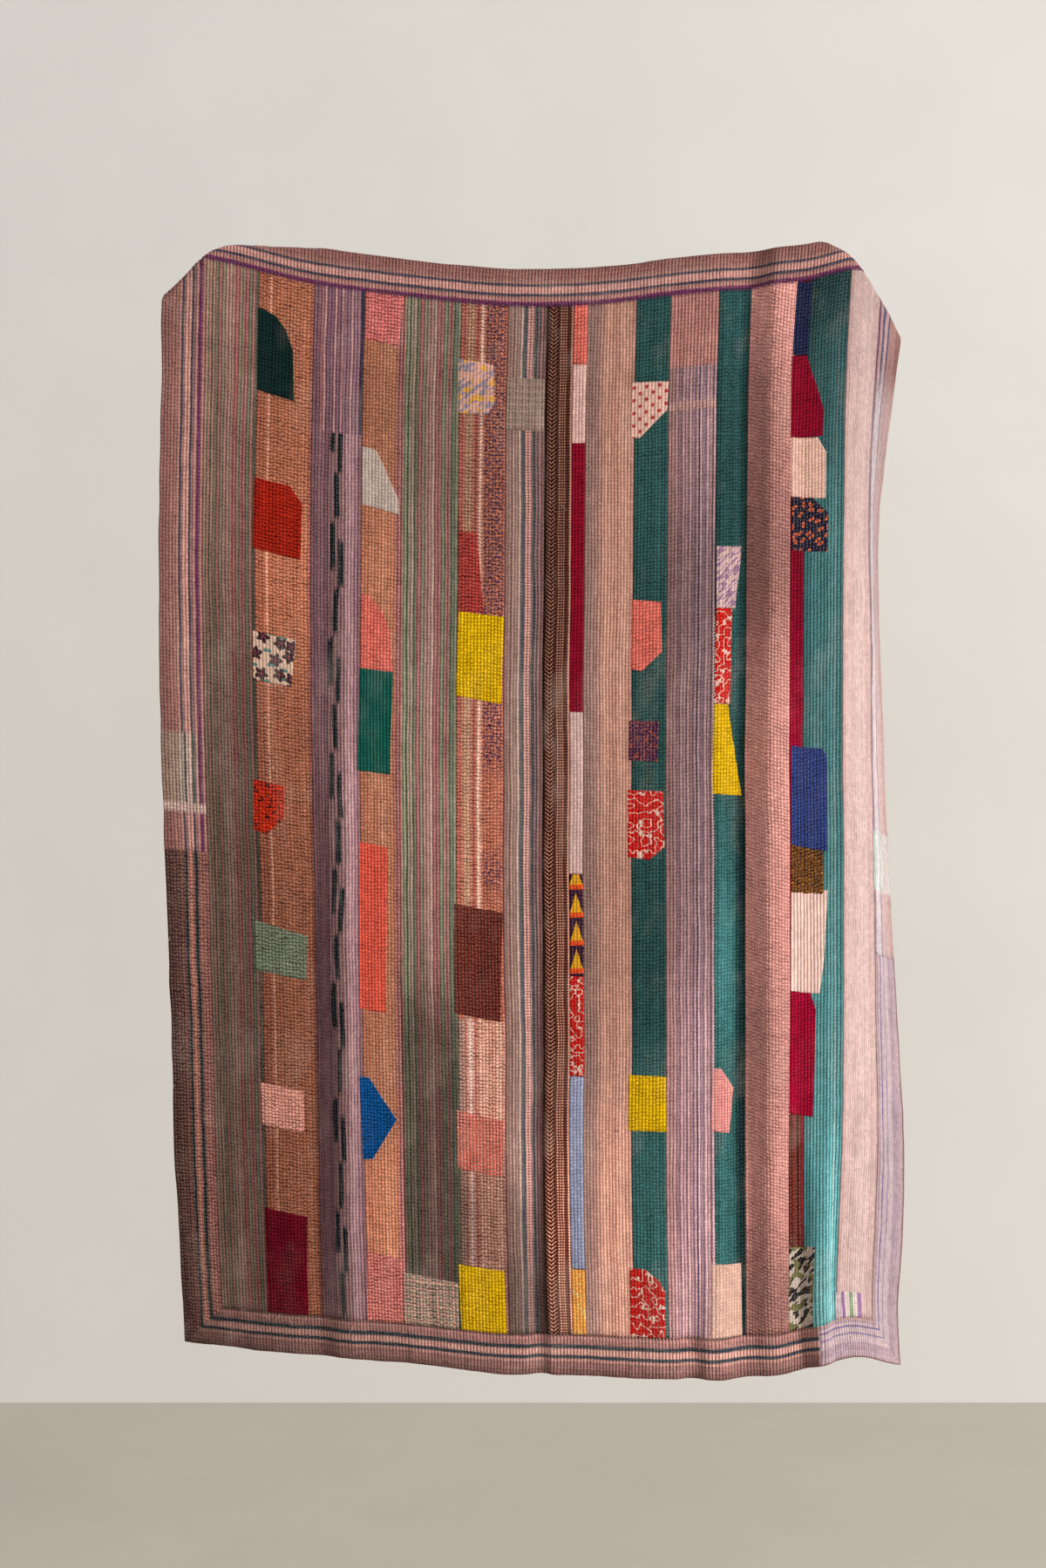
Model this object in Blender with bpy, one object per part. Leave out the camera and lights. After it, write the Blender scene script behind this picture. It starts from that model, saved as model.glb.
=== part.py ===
"""A kantha patchwork quilt of long strips inside a pieced border, hung by its top edge.

Metres, +Z up. The quilt faces -Y and its origin is the middle of its top edge. Both top corners
are turned back behind it, and its right side is turned back from a long upright ridge.

The cloth is laid out flat first: "across" runs from the left edge, "down" from the top seam, and
"out" is the distance in front of the middle of the cloth. The flat pieces are then bent, all by
the same function, onto the folds in which the quilt hangs.
"""

import math

import bmesh
import bpy
import numpy as np

# Sizes of the cloth

THICKNESS = 0.0025
SEAM_GAP = 0.0003
FIELD_LENGTH = 1.930
TOP_BORDER = 0.067
SIDE_BORDER = 0.080
HEM_BORDER = 0.076

# One row for each long strip, from the left: its name, its width, the sections it is built in,
# and the colour of its main cloth.
STRIPS = (
    ("strip_01_sage", 0.097, 5, (135, 130, 112)),
    ("strip_02_terracotta", 0.102, 4, (205, 130, 100)),
    ("strip_03_mauve", 0.093, 5, (150, 118, 138)),
    ("strip_04_terracotta", 0.073, 3, (205, 130, 98)),
    ("strip_05_sage", 0.106, 4, (142, 132, 114)),
    ("strip_06_rose", 0.087, 3, (205, 128, 105)),
    ("strip_07_grey_mauve", 0.073, 4, (170, 140, 138)),
    ("strip_08_brown_twig", 0.050, 2, (125, 92, 72)),
    ("strip_09_narrow", 0.025, 1, (190, 60, 75)),
    ("strip_10_peach", 0.090, 3, (200, 152, 128)),
    ("strip_11_teal", 0.063, 2, (55, 115, 102)),
    ("strip_12_lavender", 0.089, 3, (172, 142, 146)),
    ("strip_13_teal", 0.065, 3, (55, 115, 102)),
    ("strip_14_mauve_pink", 0.091, 4, (198, 146, 132)),
    ("strip_15_narrow", 0.026, 1, (150, 40, 60)),
    ("strip_16_teal", 0.074, 4, (58, 118, 106)),
    ("strip_17_pale_pink", 0.092, 8, (232, 196, 182)),
)

# Where a second length of cloth is joined on in the border
LEFT_JOIN_DOWN = 1.077
RIGHT_JOIN_DOWN = 1.250
HEM_JOIN_ACROSS = 1.239

BORDER_COLOURS = {
    "top": (180, 124, 116),
    "left_upper": (178, 122, 114),
    "left_lower": (108, 80, 78),
    "bottom": (176, 120, 114),
    "bottom_right": (202, 182, 192),
    "right_upper": (224, 180, 170),
    "right_lower": (204, 184, 194),
}

CLOTH_ROUGHNESS = 0.9

# How it hangs

# The seam after the eighth strip hangs nearly plumb, and all else is measured along the cloth
# from it. One row for each height: the distance down, the place of that seam.
# down, x
PLUMB_STRIP = 8
PLUMB = (
    (-0.10, 0.097),
    (0.37, 0.089),
    (0.84, 0.086),
    (1.30, 0.086),
    (1.75, 0.089),
    (1.98, 0.095),
)

# One row for each place across the cloth: the height of the top seam, the height of the seam over
# the hem, and how far back the hem swings.
# across, top seam, hem seam, hem depth
HANG = (
    (0.000, 0.031, -1.946, 0.140),
    (0.080, 0.021, -1.950, 0.122),
    (0.279, -0.025, -1.961, 0.086),
    (0.445, -0.047, -1.968, 0.068),
    (0.638, -0.065, -1.980, 0.042),
    (0.761, -0.066, -1.979, 0.034),
    (0.939, -0.046, -1.981, 0.008),
    (1.093, -0.030, -1.979, 0.008),
    (1.200, -0.019, -1.969, 0.034),
    (1.284, 0.002, -1.951, 0.034),
    (1.456, 0.003, -1.992, 0.034),
)
SWING_START = 0.33
SWING_POWER = 1.6

# One row for each fold: the place of its crest across the cloth, how far it stands back (a ridge
# is negative), how far it spreads to the left and to the right, how far down the cloth it
# begins and ends, and the length over which it fades in and out. A fold that ends under the hem
# runs out through it.
# name, across, depth, left, right, begins, ends, fade
FOLDS = (
    ("left_trough", 0.270, 0.006, 0.048, 0.044, 0.60, 2.40, 0.50),
    ("left_ridge", 0.338, -0.014, 0.054, 0.044, 0.30, 2.40, 0.90),
    ("middle_swell", 0.520, -0.013, 0.085, 0.085, 0.75, 1.50, 0.35),
    ("middle_trough", 0.697, 0.009, 0.032, 0.027, 1.10, 2.40, 0.30),
    ("hem_ripple", 0.985, 0.012, 0.040, 0.040, 1.65, 2.40, 0.30),
    ("right_trough", 1.092, 0.021, 0.066, 0.060, -0.35, 2.30, 0.45),
    ("right_ridge", 1.156, -0.010, 0.052, 0.060, -0.30, 2.40, 0.60),
    ("hem_turn", 1.246, -0.021, 0.044, 0.040, 1.40, 2.40, 0.50),
)

# The right side turns back from a ridge on the seam before the last strip, and its border
# turns again. One row for each height: the distance down, the angles of the strip and of the
# border to the front, the radius of the ridge.
# down, strip, border, radius
RETURN = (
    (-0.10, 43.0, 36.0, 0.050),
    (0.18, 47.0, 52.0, 0.044),
    (0.40, 50.0, 67.0, 0.014),
    (0.87, 45.0, 65.0, 0.012),
    (1.34, 40.0, 51.0, 0.014),
    (1.76, 33.0, 40.0, 0.016),
    (2.00, 35.0, 45.0, 0.016),
)
BORDER_BEND = 0.030

# Each top corner is turned back along creases. A crease runs from the top edge to the side edge;
# the left one is bent, and its bend is rounded.
LEFT_CREASE = ((0.325, -0.067), (0.101, -0.021), (0.000, 0.092))
LEFT_CREASE_ROUND = 0.120
LEFT_ROLL = 0.008
RIGHT_CREASE = ((1.203, -0.067), (1.446, 0.103))
RIGHT_ROLL = 0.012

# The sections in which the pieces are built, so that the folds show and neighbours match
# Beside the turned corners, one row for each band: how far down it ends, and its rows.
CORNER_BANDS = ((0.048, 10), (0.150, 5))
PLAIN_BANDS = ((0.150, 2),)
ROW = 0.075
SHORTEST = 0.003
BORDER_SECTIONS = 7
LOWER_BORDER_SECTIONS = 3
CORNER_SECTION = 0.011

# The grid on which the hanging shape is worked out once
STEP_ACROSS = 0.002
STEP_DOWN = 0.010
MARGIN = 0.040


def seams():
    """The places across the cloth of every seam, with both outer edges."""
    places = [0.0, SIDE_BORDER]
    for _, width, _, _ in STRIPS:
        places.append(places[-1] + width)
    return places + [places[-1] + SIDE_BORDER]


SEAMS = seams()
WIDTH = SEAMS[-1]
RETURN_SEAM = SEAMS[-3]
BORDER_SEAM = SEAMS[-2]
PLUMB_SEAM = SEAMS[PLUMB_STRIP + 1]


def ease(share):
    """A smooth step from 0 to 1."""
    share = np.clip(share, 0.0, 1.0)
    return share * share * (3.0 - 2.0 * share)


def curve(rows, column, at):
    """A smooth curve through one column of a table, whose first column is the place."""
    places = np.array([row[0] for row in rows])
    values = np.array([row[column] for row in rows])
    slopes = np.gradient(values, places)
    at = np.clip(at, places[0], places[-1])
    k = np.clip(np.searchsorted(places, at, side="right") - 1, 0, len(rows) - 2)
    span = places[k + 1] - places[k]
    t = (at - places[k]) / span
    rest = 1.0 - t
    return (
        values[k] * (1.0 + 2.0 * t) * rest * rest
        + slopes[k] * span * t * rest * rest
        + values[k + 1] * t * t * (3.0 - 2.0 * t)
        - slopes[k + 1] * span * t * t * rest
    )


def fold_depth(fold, across, down):
    _, crest, depth, left, right, begins, ends, fade = fold
    away = across - crest
    share = np.abs(away) / np.where(away < 0.0, left, right)
    profile = np.where(share < 1.0, 0.5 + 0.5 * np.cos(np.pi * np.minimum(share, 1.0)), 0.0)
    return depth * profile * ease((down - begins) / fade) * ease((ends - down) / fade)


def return_depth(across, down):
    """The right side goes back at its angles, from its ridge and from its border's seam."""
    strip_angle = np.radians(curve(RETURN, 1, down))
    border_angle = np.radians(curve(RETURN, 2, down))
    ridge = curve(RETURN, 3, down) * strip_angle
    past_ridge = np.clip((across - RETURN_SEAM) / ridge + 0.5, 0.0, 1.0)
    past_seam = np.clip((across - BORDER_SEAM) / BORDER_BEND + 0.5, 0.0, 1.0)
    heading = strip_angle * past_ridge + (border_angle - strip_angle) * past_seam
    return np.cumsum(np.sin(heading), axis=1) * STEP_ACROSS


def depth_back(across, down):
    """How far back the middle of the cloth is."""
    fallen = np.maximum(down / FIELD_LENGTH - SWING_START, 0.0) / (1.0 - SWING_START)
    depth = curve(HANG, 3, across) * fallen**SWING_POWER
    for fold in FOLDS:
        depth = depth + fold_depth(fold, across, down)
    return depth + return_depth(across, down)


def height(across, down):
    top = curve(HANG, 1, across)
    hem = curve(HANG, 2, across)
    inside = np.clip(down, 0.0, FIELD_LENGTH)
    return top + (hem - top) * inside / FIELD_LENGTH - (down - inside)


def hanging_grid():
    """The hanging cloth, as a grid of points whose distances across are those of the flat cloth."""
    across = np.arange(-MARGIN, WIDTH + MARGIN, STEP_ACROSS)
    down = np.arange(-TOP_BORDER - MARGIN, FIELD_LENGTH + HEM_BORDER + MARGIN, STEP_DOWN)
    far, low = np.meshgrid(across, down, indexing="xy")
    y = depth_back(far, low)
    steps = np.diff(y, axis=1)
    lengths = np.sqrt(np.maximum(STEP_ACROSS**2 - steps**2, 0.0))
    x = np.concatenate([np.zeros((len(down), 1)), np.cumsum(lengths, axis=1)], axis=1)
    plumb = np.array([np.interp(PLUMB_SEAM, across, row) for row in x])
    x += (curve(PLUMB, 1, down) - plumb)[:, None]
    return across, down, np.stack([x, y, height(far, low)], axis=2)


GRID_ACROSS, GRID_DOWN, GRID = hanging_grid()
NORMALS = np.cross(np.gradient(GRID, axis=0), np.gradient(GRID, axis=1))
NORMALS /= np.linalg.norm(NORMALS, axis=2, keepdims=True)


def on_grid(values, across, down):
    """The value between the four grid points round each place."""
    i = np.clip((across - GRID_ACROSS[0]) / STEP_ACROSS, 0.0, len(GRID_ACROSS) - 1.001)
    j = np.clip((down - GRID_DOWN[0]) / STEP_DOWN, 0.0, len(GRID_DOWN) - 1.001)
    a, b = i.astype(int), j.astype(int)
    s, t = (i - a)[:, None], (j - b)[:, None]
    return (
        values[b, a] * (1 - s) * (1 - t)
        + values[b, a + 1] * s * (1 - t)
        + values[b + 1, a] * (1 - s) * t
        + values[b + 1, a + 1] * s * t
    )


def crease_side(start, end, points):
    """The distances of the points past a straight crease, and the way past it."""
    along = np.subtract(end, start)
    along = along / np.linalg.norm(along)
    past = np.array([along[1], -along[0]])
    if past[1] > 0.0:
        past = -past
    return (points - start) @ past, past


def roll_back(flat, distance, way, radius):
    """Turns what lies past a crease over, round a roll of the cloth."""
    turned = np.clip(distance / radius, 0.0, math.pi)
    rest = np.maximum(distance - math.pi * radius, 0.0)
    reach = (radius + flat[:, 2]) * np.sin(turned) - rest
    past = distance > 0.0
    moved = flat.copy()
    moved[:, :2] += np.where(past, reach - distance, 0.0)[:, None] * way
    moved[:, 2] = np.where(past, (radius + flat[:, 2]) * np.cos(turned) - radius, flat[:, 2])
    return moved


def turn_left_corner(flat):
    """The left corner goes back over two straight creases and the round bend between them."""
    points = flat[:, :2]
    top, bend, side = (np.array(place) for place in LEFT_CREASE)
    first, first_way = crease_side(bend, top, points)
    second, second_way = crease_side(side, bend, points)
    turn = first_way + second_way
    centre = bend - turn * LEFT_CREASE_ROUND / (1.0 + first_way @ second_way)
    from_centre = points - centre
    reach = np.linalg.norm(from_centre, axis=1)
    way = from_centre / np.maximum(reach, 1e-9)[:, None]
    cross_first = first_way[0] * way[:, 1] - first_way[1] * way[:, 0]
    cross_second = second_way[0] * way[:, 1] - second_way[1] * way[:, 0]
    between = (cross_first < 0.0) & (cross_second > 0.0) & (from_centre @ turn > 0.0)
    nearer_top = (from_centre @ (first_way - second_way)) > 0.0
    distance = np.where(between, reach - LEFT_CREASE_ROUND, np.where(nearer_top, first, second))
    ways = np.where(between[:, None], way, np.where(nearer_top[:, None], first_way, second_way))
    near = points[:, 0] < WIDTH / 2.0
    return roll_back(flat, np.where(near, distance, -1.0), ways, LEFT_ROLL)


def turn_right_corner(flat):
    top, side = (np.array(place) for place in RIGHT_CREASE)
    distance, way = crease_side(top, side, flat[:, :2])
    near = flat[:, 0] > WIDTH / 2.0
    ways = np.broadcast_to(way, (len(flat), 2))
    return roll_back(flat, np.where(near, distance, -1.0), ways, RIGHT_ROLL)


def hung(flat):
    """Bends flat cloth, given as rows of across, down and out, into its hanging shape."""
    flat = turn_right_corner(turn_left_corner(flat))
    across, down = flat[:, 0], flat[:, 1]
    middle = on_grid(GRID, across, down)
    front = on_grid(NORMALS, across, down)
    front /= np.linalg.norm(front, axis=1, keepdims=True)
    return middle + front * flat[:, 2:3]


def cloth_material(name, colour):
    material = bpy.data.materials.new(name)
    material.use_nodes = True
    shader = material.node_tree.nodes["Principled BSDF"]
    linear = [(value / 255.0) ** 2.2 for value in colour]
    shader.inputs["Base Color"].default_value = (*linear, 1.0)
    shader.inputs["Roughness"].default_value = CLOTH_ROUGHNESS
    shader.inputs["Metallic"].default_value = 0.0
    return material


def cloth_piece(name, colour, columns, rows, place):
    """One piece of cloth: a flat grid, drawn out to its thickness and bent into its folds.

    place(i, j) gives the flat place, across and down, of the grid point in column i and row j.
    """
    mesh = bpy.data.meshes.new(name)
    shape = bmesh.new()
    bmesh.ops.create_grid(shape, x_segments=columns, y_segments=rows, size=0.5)
    back = shape.verts[:]
    drawn = bmesh.ops.extrude_face_region(shape, geom=shape.faces[:])["geom"]
    front = [item for item in drawn if isinstance(item, bmesh.types.BMVert)]
    flat = []
    for points, out in ((back, -THICKNESS / 2.0), (front, THICKNESS / 2.0)):
        for point in points:
            column = round((point.co.x + 0.5) * columns)
            row = round((0.5 - point.co.y) * rows)
            flat.append((*place(column, row), out))
    for point, position in zip(back + front, hung(np.array(flat))):
        point.co = position
    bmesh.ops.recalc_face_normals(shape, faces=shape.faces[:])
    shape.to_mesh(mesh)
    shape.free()
    mesh.materials.append(cloth_material(name + "_cloth", colour))
    piece = bpy.data.objects.new(name, mesh)
    quilt.objects.link(piece)
    return piece


def evenly(start, end, count):
    return [start + (end - start) * k / count for k in range(count + 1)]


def down_rows(bands):
    """The rows of an upright piece: its bands at the top, and even rows from there."""
    rows = [0.0]
    for end, count in bands:
        rows += evenly(rows[-1], end, count)[1:]
    rest = math.ceil((FIELD_LENGTH - rows[-1]) / ROW)
    return rows + evenly(rows[-1], FIELD_LENGTH, rest)[1:]


def across_columns():
    """The columns that the strips share with the border above and below them."""
    columns = [SEAMS[1]]
    for k, (_, _, sections, _) in enumerate(STRIPS):
        columns += evenly(SEAMS[k + 1], SEAMS[k + 2], sections)[1:]
    return columns


PLAIN_ROWS = down_rows(PLAIN_BANDS)
CORNER_ROWS = down_rows(CORNER_BANDS)
COLUMNS = across_columns()


def closer(columns, start, end, widest):
    """More columns between start and end, no further apart than widest."""
    out = [columns[0]]
    for last, following in zip(columns, columns[1:]):
        if last >= start - 1e-6 and following <= end + 1e-6:
            out += evenly(last, following, math.ceil((following - last) / widest))[1:]
        else:
            out.append(following)
    return out


def between(places, start, end):
    """The places from start to end, with a gap kept at both ends."""
    inner = [place for place in places if start + SHORTEST < place < end - SHORTEST]
    return [start + SEAM_GAP / 2.0, *inner, end - SEAM_GAP / 2.0]


def strip(k):
    name, _, sections, colour = STRIPS[k]
    columns = between(evenly(SEAMS[k + 1], SEAMS[k + 2], sections), SEAMS[k + 1], SEAMS[k + 2])
    by_corner = k in (0, len(STRIPS) - 2, len(STRIPS) - 1)
    rows = between(CORNER_ROWS if by_corner else PLAIN_ROWS, 0.0, FIELD_LENGTH)
    return cloth_piece(
        name, colour, len(columns) - 1, len(rows) - 1, lambda i, j: (columns[i], rows[j])
    )


def mitre(places, j, reach, share):
    """A place along a border, where the first and last run out to the mitre by their share."""
    first, last = reach
    if j == 0:
        return places[0] - first * share
    if j == len(places) - 1:
        return places[-1] + last * share
    return places[j]


def side_border(name, left, start, end, reach, sections):
    """An upright length of border. reach is how far its mitres run past each end."""
    rows = between(CORNER_ROWS, start, end)
    inner = SIDE_BORDER - SEAM_GAP / 2.0
    out = [inner * k / sections for k in range(sections + 1)]
    columns = [SIDE_BORDER - SEAM_GAP / 2.0 - x for x in out[::-1]]
    shares = [1.0 - column / inner for column in columns]
    if not left:
        columns = [WIDTH - column for column in columns[::-1]]
        shares = shares[::-1]
    return cloth_piece(
        name,
        BORDER_COLOURS[name.removeprefix("border_")],
        sections,
        len(rows) - 1,
        lambda i, j: (columns[i], mitre(rows, j, reach, shares[i])),
    )


def level_border(name, columns, start, end, reach, inner, outer, sections):
    """A level length of border between the heights inner and outer, down the cloth."""
    places = between(columns, start, end)
    direction = 1.0 if outer > inner else -1.0
    near = inner + direction * SEAM_GAP / 2.0
    rows = evenly(near, outer, sections)
    shares = [k / sections for k in range(sections + 1)]
    if direction < 0.0:
        rows = rows[::-1]
        shares = shares[::-1]
    return cloth_piece(
        name,
        BORDER_COLOURS[name.removeprefix("border_")],
        len(places) - 1,
        sections,
        lambda i, j: (mitre(places, i, reach, shares[j]), rows[j]),
    )


def border():
    mitred = SIDE_BORDER - SEAM_GAP
    fine = closer(COLUMNS, SEAMS[1], SEAMS[5], CORNER_SECTION)
    fine = closer(fine, SEAMS[16], SEAMS[18], CORNER_SECTION)
    field = (SEAMS[1], SEAMS[-2])
    level_border("border_top", fine, *field, (mitred, mitred), 0.0, -TOP_BORDER, BORDER_SECTIONS)
    level_border(
        "border_bottom",
        COLUMNS,
        SEAMS[1],
        HEM_JOIN_ACROSS,
        (mitred, 0.0),
        FIELD_LENGTH,
        FIELD_LENGTH + HEM_BORDER,
        LOWER_BORDER_SECTIONS,
    )
    level_border(
        "border_bottom_right",
        COLUMNS,
        HEM_JOIN_ACROSS,
        SEAMS[-2],
        (0.0, mitred),
        FIELD_LENGTH,
        FIELD_LENGTH + HEM_BORDER,
        LOWER_BORDER_SECTIONS,
    )
    up = (TOP_BORDER - SEAM_GAP, 0.0)
    foot = (0.0, HEM_BORDER - SEAM_GAP)
    for side, left, join in (("left", True, LEFT_JOIN_DOWN), ("right", False, RIGHT_JOIN_DOWN)):
        side_border(f"border_{side}_upper", left, 0.0, join, up, BORDER_SECTIONS)
        side_border(
            f"border_{side}_lower", left, join, FIELD_LENGTH, foot, LOWER_BORDER_SECTIONS
        )


for leftover in list(bpy.data.objects):
    bpy.data.objects.remove(leftover, do_unlink=True)

quilt = bpy.data.collections.new("kantha_quilt")
bpy.context.scene.collection.children.link(quilt)

for number in range(len(STRIPS)):
    strip(number)
border()
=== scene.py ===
# %% [markdown]
# # A kantha patchwork quilt, hung by its top edge
#
# The real quilt is several layers of worn sari cotton, held together by rows and rows of running
# stitches. Its face is seventeen long strips, with small pieces of other cloth sewn on over the
# worn places, inside a striped border with mitred corners. The stitches draw the cloth up into
# the little ridges that make a kantha quilt look alive.
#
# This script loads the solid model of the quilt as its frame, and then makes every visible cloth
# again as a thin, fine sheet on the same folds.

# %% Load the frame
import math

import bmesh
import bpy
import numpy as np
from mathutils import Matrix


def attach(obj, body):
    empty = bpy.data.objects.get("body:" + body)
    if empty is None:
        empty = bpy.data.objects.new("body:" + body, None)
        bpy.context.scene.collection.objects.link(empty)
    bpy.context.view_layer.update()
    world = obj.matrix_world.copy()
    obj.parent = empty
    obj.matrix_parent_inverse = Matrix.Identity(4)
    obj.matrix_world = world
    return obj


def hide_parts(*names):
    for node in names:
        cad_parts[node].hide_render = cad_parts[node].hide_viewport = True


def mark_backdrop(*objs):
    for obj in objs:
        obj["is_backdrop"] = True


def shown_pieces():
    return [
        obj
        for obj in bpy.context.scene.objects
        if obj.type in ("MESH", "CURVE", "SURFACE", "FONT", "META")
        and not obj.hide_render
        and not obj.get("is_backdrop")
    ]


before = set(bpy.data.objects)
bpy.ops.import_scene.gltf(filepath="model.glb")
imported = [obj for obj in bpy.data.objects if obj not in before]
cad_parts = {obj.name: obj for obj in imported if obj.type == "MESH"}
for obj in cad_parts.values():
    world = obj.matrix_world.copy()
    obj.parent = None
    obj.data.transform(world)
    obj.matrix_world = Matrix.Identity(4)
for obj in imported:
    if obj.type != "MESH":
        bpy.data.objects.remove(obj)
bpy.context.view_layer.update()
bpy.ops.object.select_all(action="DESELECT")
print("solids in the frame:", len(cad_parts))

# %% [markdown]
# ## The sizes of the flat cloth
#
# A quilt is measured while it lies flat. "Across" runs from its left edge, "down" from the seam
# under the top border, and "out" stands in front of the middle of the cloth. All sizes are metres.

# %% Sizes of the cloth
THICKNESS = 0.0025
FIELD_LENGTH = 1.930
TOP_BORDER = 0.067
SIDE_BORDER = 0.080
HEM_BORDER = 0.076
LEFT_JOIN_DOWN = 1.077
RIGHT_JOIN_DOWN = 1.250
HEM_JOIN_ACROSS = 1.239

# One row for each long strip, from the left: its name, its width, and its slot in the record.
STRIPS = (
    ("strip_01_sage", 0.097, "sage_stripe"),
    ("strip_02_terracotta", 0.102, "terracotta"),
    ("strip_03_mauve", 0.093, "mauve_stripe"),
    ("strip_04_terracotta", 0.073, "terracotta"),
    ("strip_05_sage", 0.106, "sage_stripe"),
    ("strip_06_rose", 0.087, "rose"),
    ("strip_07_grey_mauve", 0.073, "grey_mauve_stripe"),
    ("strip_08_brown_twig", 0.050, "brown_twig"),
    ("strip_09_narrow", 0.025, "narrow_pieces"),
    ("strip_10_peach", 0.090, "peach"),
    ("strip_11_teal", 0.063, "teal"),
    ("strip_12_lavender", 0.089, "lavender_plaid"),
    ("strip_13_teal", 0.065, "teal"),
    ("strip_14_mauve_pink", 0.091, "mauve_pink"),
    ("strip_15_narrow", 0.026, "narrow_pieces"),
    ("strip_16_teal", 0.074, "teal"),
    ("strip_17_pale_pink", 0.092, "pale_pink"),
)


def seams():
    """The places across the cloth of every seam, with both outer edges."""
    places = [0.0, SIDE_BORDER]
    for _, width, _ in STRIPS:
        places.append(places[-1] + width)
    return places + [places[-1] + SIDE_BORDER]


SEAMS = seams()
WIDTH = SEAMS[-1]
RETURN_SEAM = SEAMS[-3]
BORDER_SEAM = SEAMS[-2]
print(f"flat quilt: {WIDTH:.3f} by {TOP_BORDER + FIELD_LENGTH + HEM_BORDER:.3f} m")

# %% [markdown]
# ## How it hangs
#
# Cloth bends easily but hardly stretches. So the hanging shape is worked out in depth first: how
# far back each place is, from the swing of the hem, a few soft folds, and the right side that turns
# back. The places across then follow from the length of the cloth between them. Both top corners
# are turned back over a roll. A cloth simulation would also drape it, but it would not find
# these particular folds, so they are placed one by one.

# %% Tables of the hanging shape
PLUMB_STRIP = 8
# down, x
PLUMB = (
    (-0.10, 0.097),
    (0.37, 0.089),
    (0.84, 0.086),
    (1.30, 0.086),
    (1.75, 0.089),
    (1.98, 0.095),
)
# across, top seam, hem seam, hem depth
HANG = (
    (0.000, 0.031, -1.946, 0.140),
    (0.080, 0.021, -1.950, 0.122),
    (0.279, -0.025, -1.961, 0.086),
    (0.445, -0.047, -1.968, 0.068),
    (0.638, -0.065, -1.980, 0.042),
    (0.761, -0.066, -1.979, 0.034),
    (0.939, -0.046, -1.981, 0.008),
    (1.093, -0.030, -1.979, 0.008),
    (1.200, -0.019, -1.969, 0.034),
    (1.284, 0.002, -1.951, 0.034),
    (1.456, 0.003, -1.992, 0.034),
)
SWING_START = 0.33
SWING_POWER = 1.6
# name, across, depth, left, right, begins, ends, fade
FOLDS = (
    ("left_trough", 0.270, 0.006, 0.048, 0.044, 0.60, 2.40, 0.50),
    ("left_ridge", 0.338, -0.014, 0.054, 0.044, 0.30, 2.40, 0.90),
    ("middle_swell", 0.520, -0.013, 0.085, 0.085, 0.75, 1.50, 0.35),
    ("middle_trough", 0.697, 0.009, 0.032, 0.027, 1.10, 2.40, 0.30),
    ("hem_ripple", 0.985, 0.012, 0.040, 0.040, 1.65, 2.40, 0.30),
    ("right_trough", 1.092, 0.021, 0.066, 0.060, -0.35, 2.30, 0.45),
    ("right_ridge", 1.156, -0.010, 0.052, 0.060, -0.30, 2.40, 0.60),
    ("hem_turn", 1.246, -0.021, 0.044, 0.040, 1.40, 2.40, 0.50),
)
# down, strip, border, radius
RETURN = (
    (-0.10, 43.0, 36.0, 0.050),
    (0.18, 47.0, 52.0, 0.044),
    (0.40, 50.0, 67.0, 0.014),
    (0.87, 45.0, 65.0, 0.012),
    (1.34, 40.0, 51.0, 0.014),
    (1.76, 33.0, 40.0, 0.016),
    (2.00, 35.0, 45.0, 0.016),
)
BORDER_BEND = 0.030
LEFT_CREASE = ((0.325, -0.067), (0.101, -0.021), (0.000, 0.092))
LEFT_CREASE_ROUND = 0.120
LEFT_ROLL = 0.008
RIGHT_CREASE = ((1.203, -0.067), (1.446, 0.103))
RIGHT_ROLL = 0.012
STEP_ACROSS = 0.002
STEP_DOWN = 0.010
MARGIN = 0.040
print("folds placed by hand:", len(FOLDS))


# %% The depth of each place
def ease(share):
    """A smooth step from 0 to 1."""
    share = np.clip(share, 0.0, 1.0)
    return share * share * (3.0 - 2.0 * share)


def curve(rows, column, at):
    """A smooth curve through one column of a table, whose first column is the place."""
    places = np.array([row[0] for row in rows])
    values = np.array([row[column] for row in rows])
    slopes = np.gradient(values, places)
    at = np.clip(at, places[0], places[-1])
    k = np.clip(np.searchsorted(places, at, side="right") - 1, 0, len(rows) - 2)
    span = places[k + 1] - places[k]
    t = (at - places[k]) / span
    rest = 1.0 - t
    return (
        values[k] * (1.0 + 2.0 * t) * rest * rest
        + slopes[k] * span * t * rest * rest
        + values[k + 1] * t * t * (3.0 - 2.0 * t)
        - slopes[k + 1] * span * t * t * rest
    )


def fold_depth(fold, across, down):
    _, crest, depth, left, right, begins, ends, fade = fold
    away = across - crest
    share = np.abs(away) / np.where(away < 0.0, left, right)
    profile = np.where(share < 1.0, 0.5 + 0.5 * np.cos(np.pi * np.minimum(share, 1.0)), 0.0)
    return depth * profile * ease((down - begins) / fade) * ease((ends - down) / fade)


def return_depth(across, down):
    """The right side goes back at its angles, from its ridge and from its border's seam."""
    strip_angle = np.radians(curve(RETURN, 1, down))
    border_angle = np.radians(curve(RETURN, 2, down))
    ridge = curve(RETURN, 3, down) * strip_angle
    past_ridge = np.clip((across - RETURN_SEAM) / ridge + 0.5, 0.0, 1.0)
    past_seam = np.clip((across - BORDER_SEAM) / BORDER_BEND + 0.5, 0.0, 1.0)
    heading = strip_angle * past_ridge + (border_angle - strip_angle) * past_seam
    return np.cumsum(np.sin(heading), axis=1) * STEP_ACROSS


def depth_back(across, down):
    """How far back the middle of the cloth is."""
    fallen = np.maximum(down / FIELD_LENGTH - SWING_START, 0.0) / (1.0 - SWING_START)
    depth = curve(HANG, 3, across) * fallen**SWING_POWER
    for fold in FOLDS:
        depth = depth + fold_depth(fold, across, down)
    return depth + return_depth(across, down)


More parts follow.
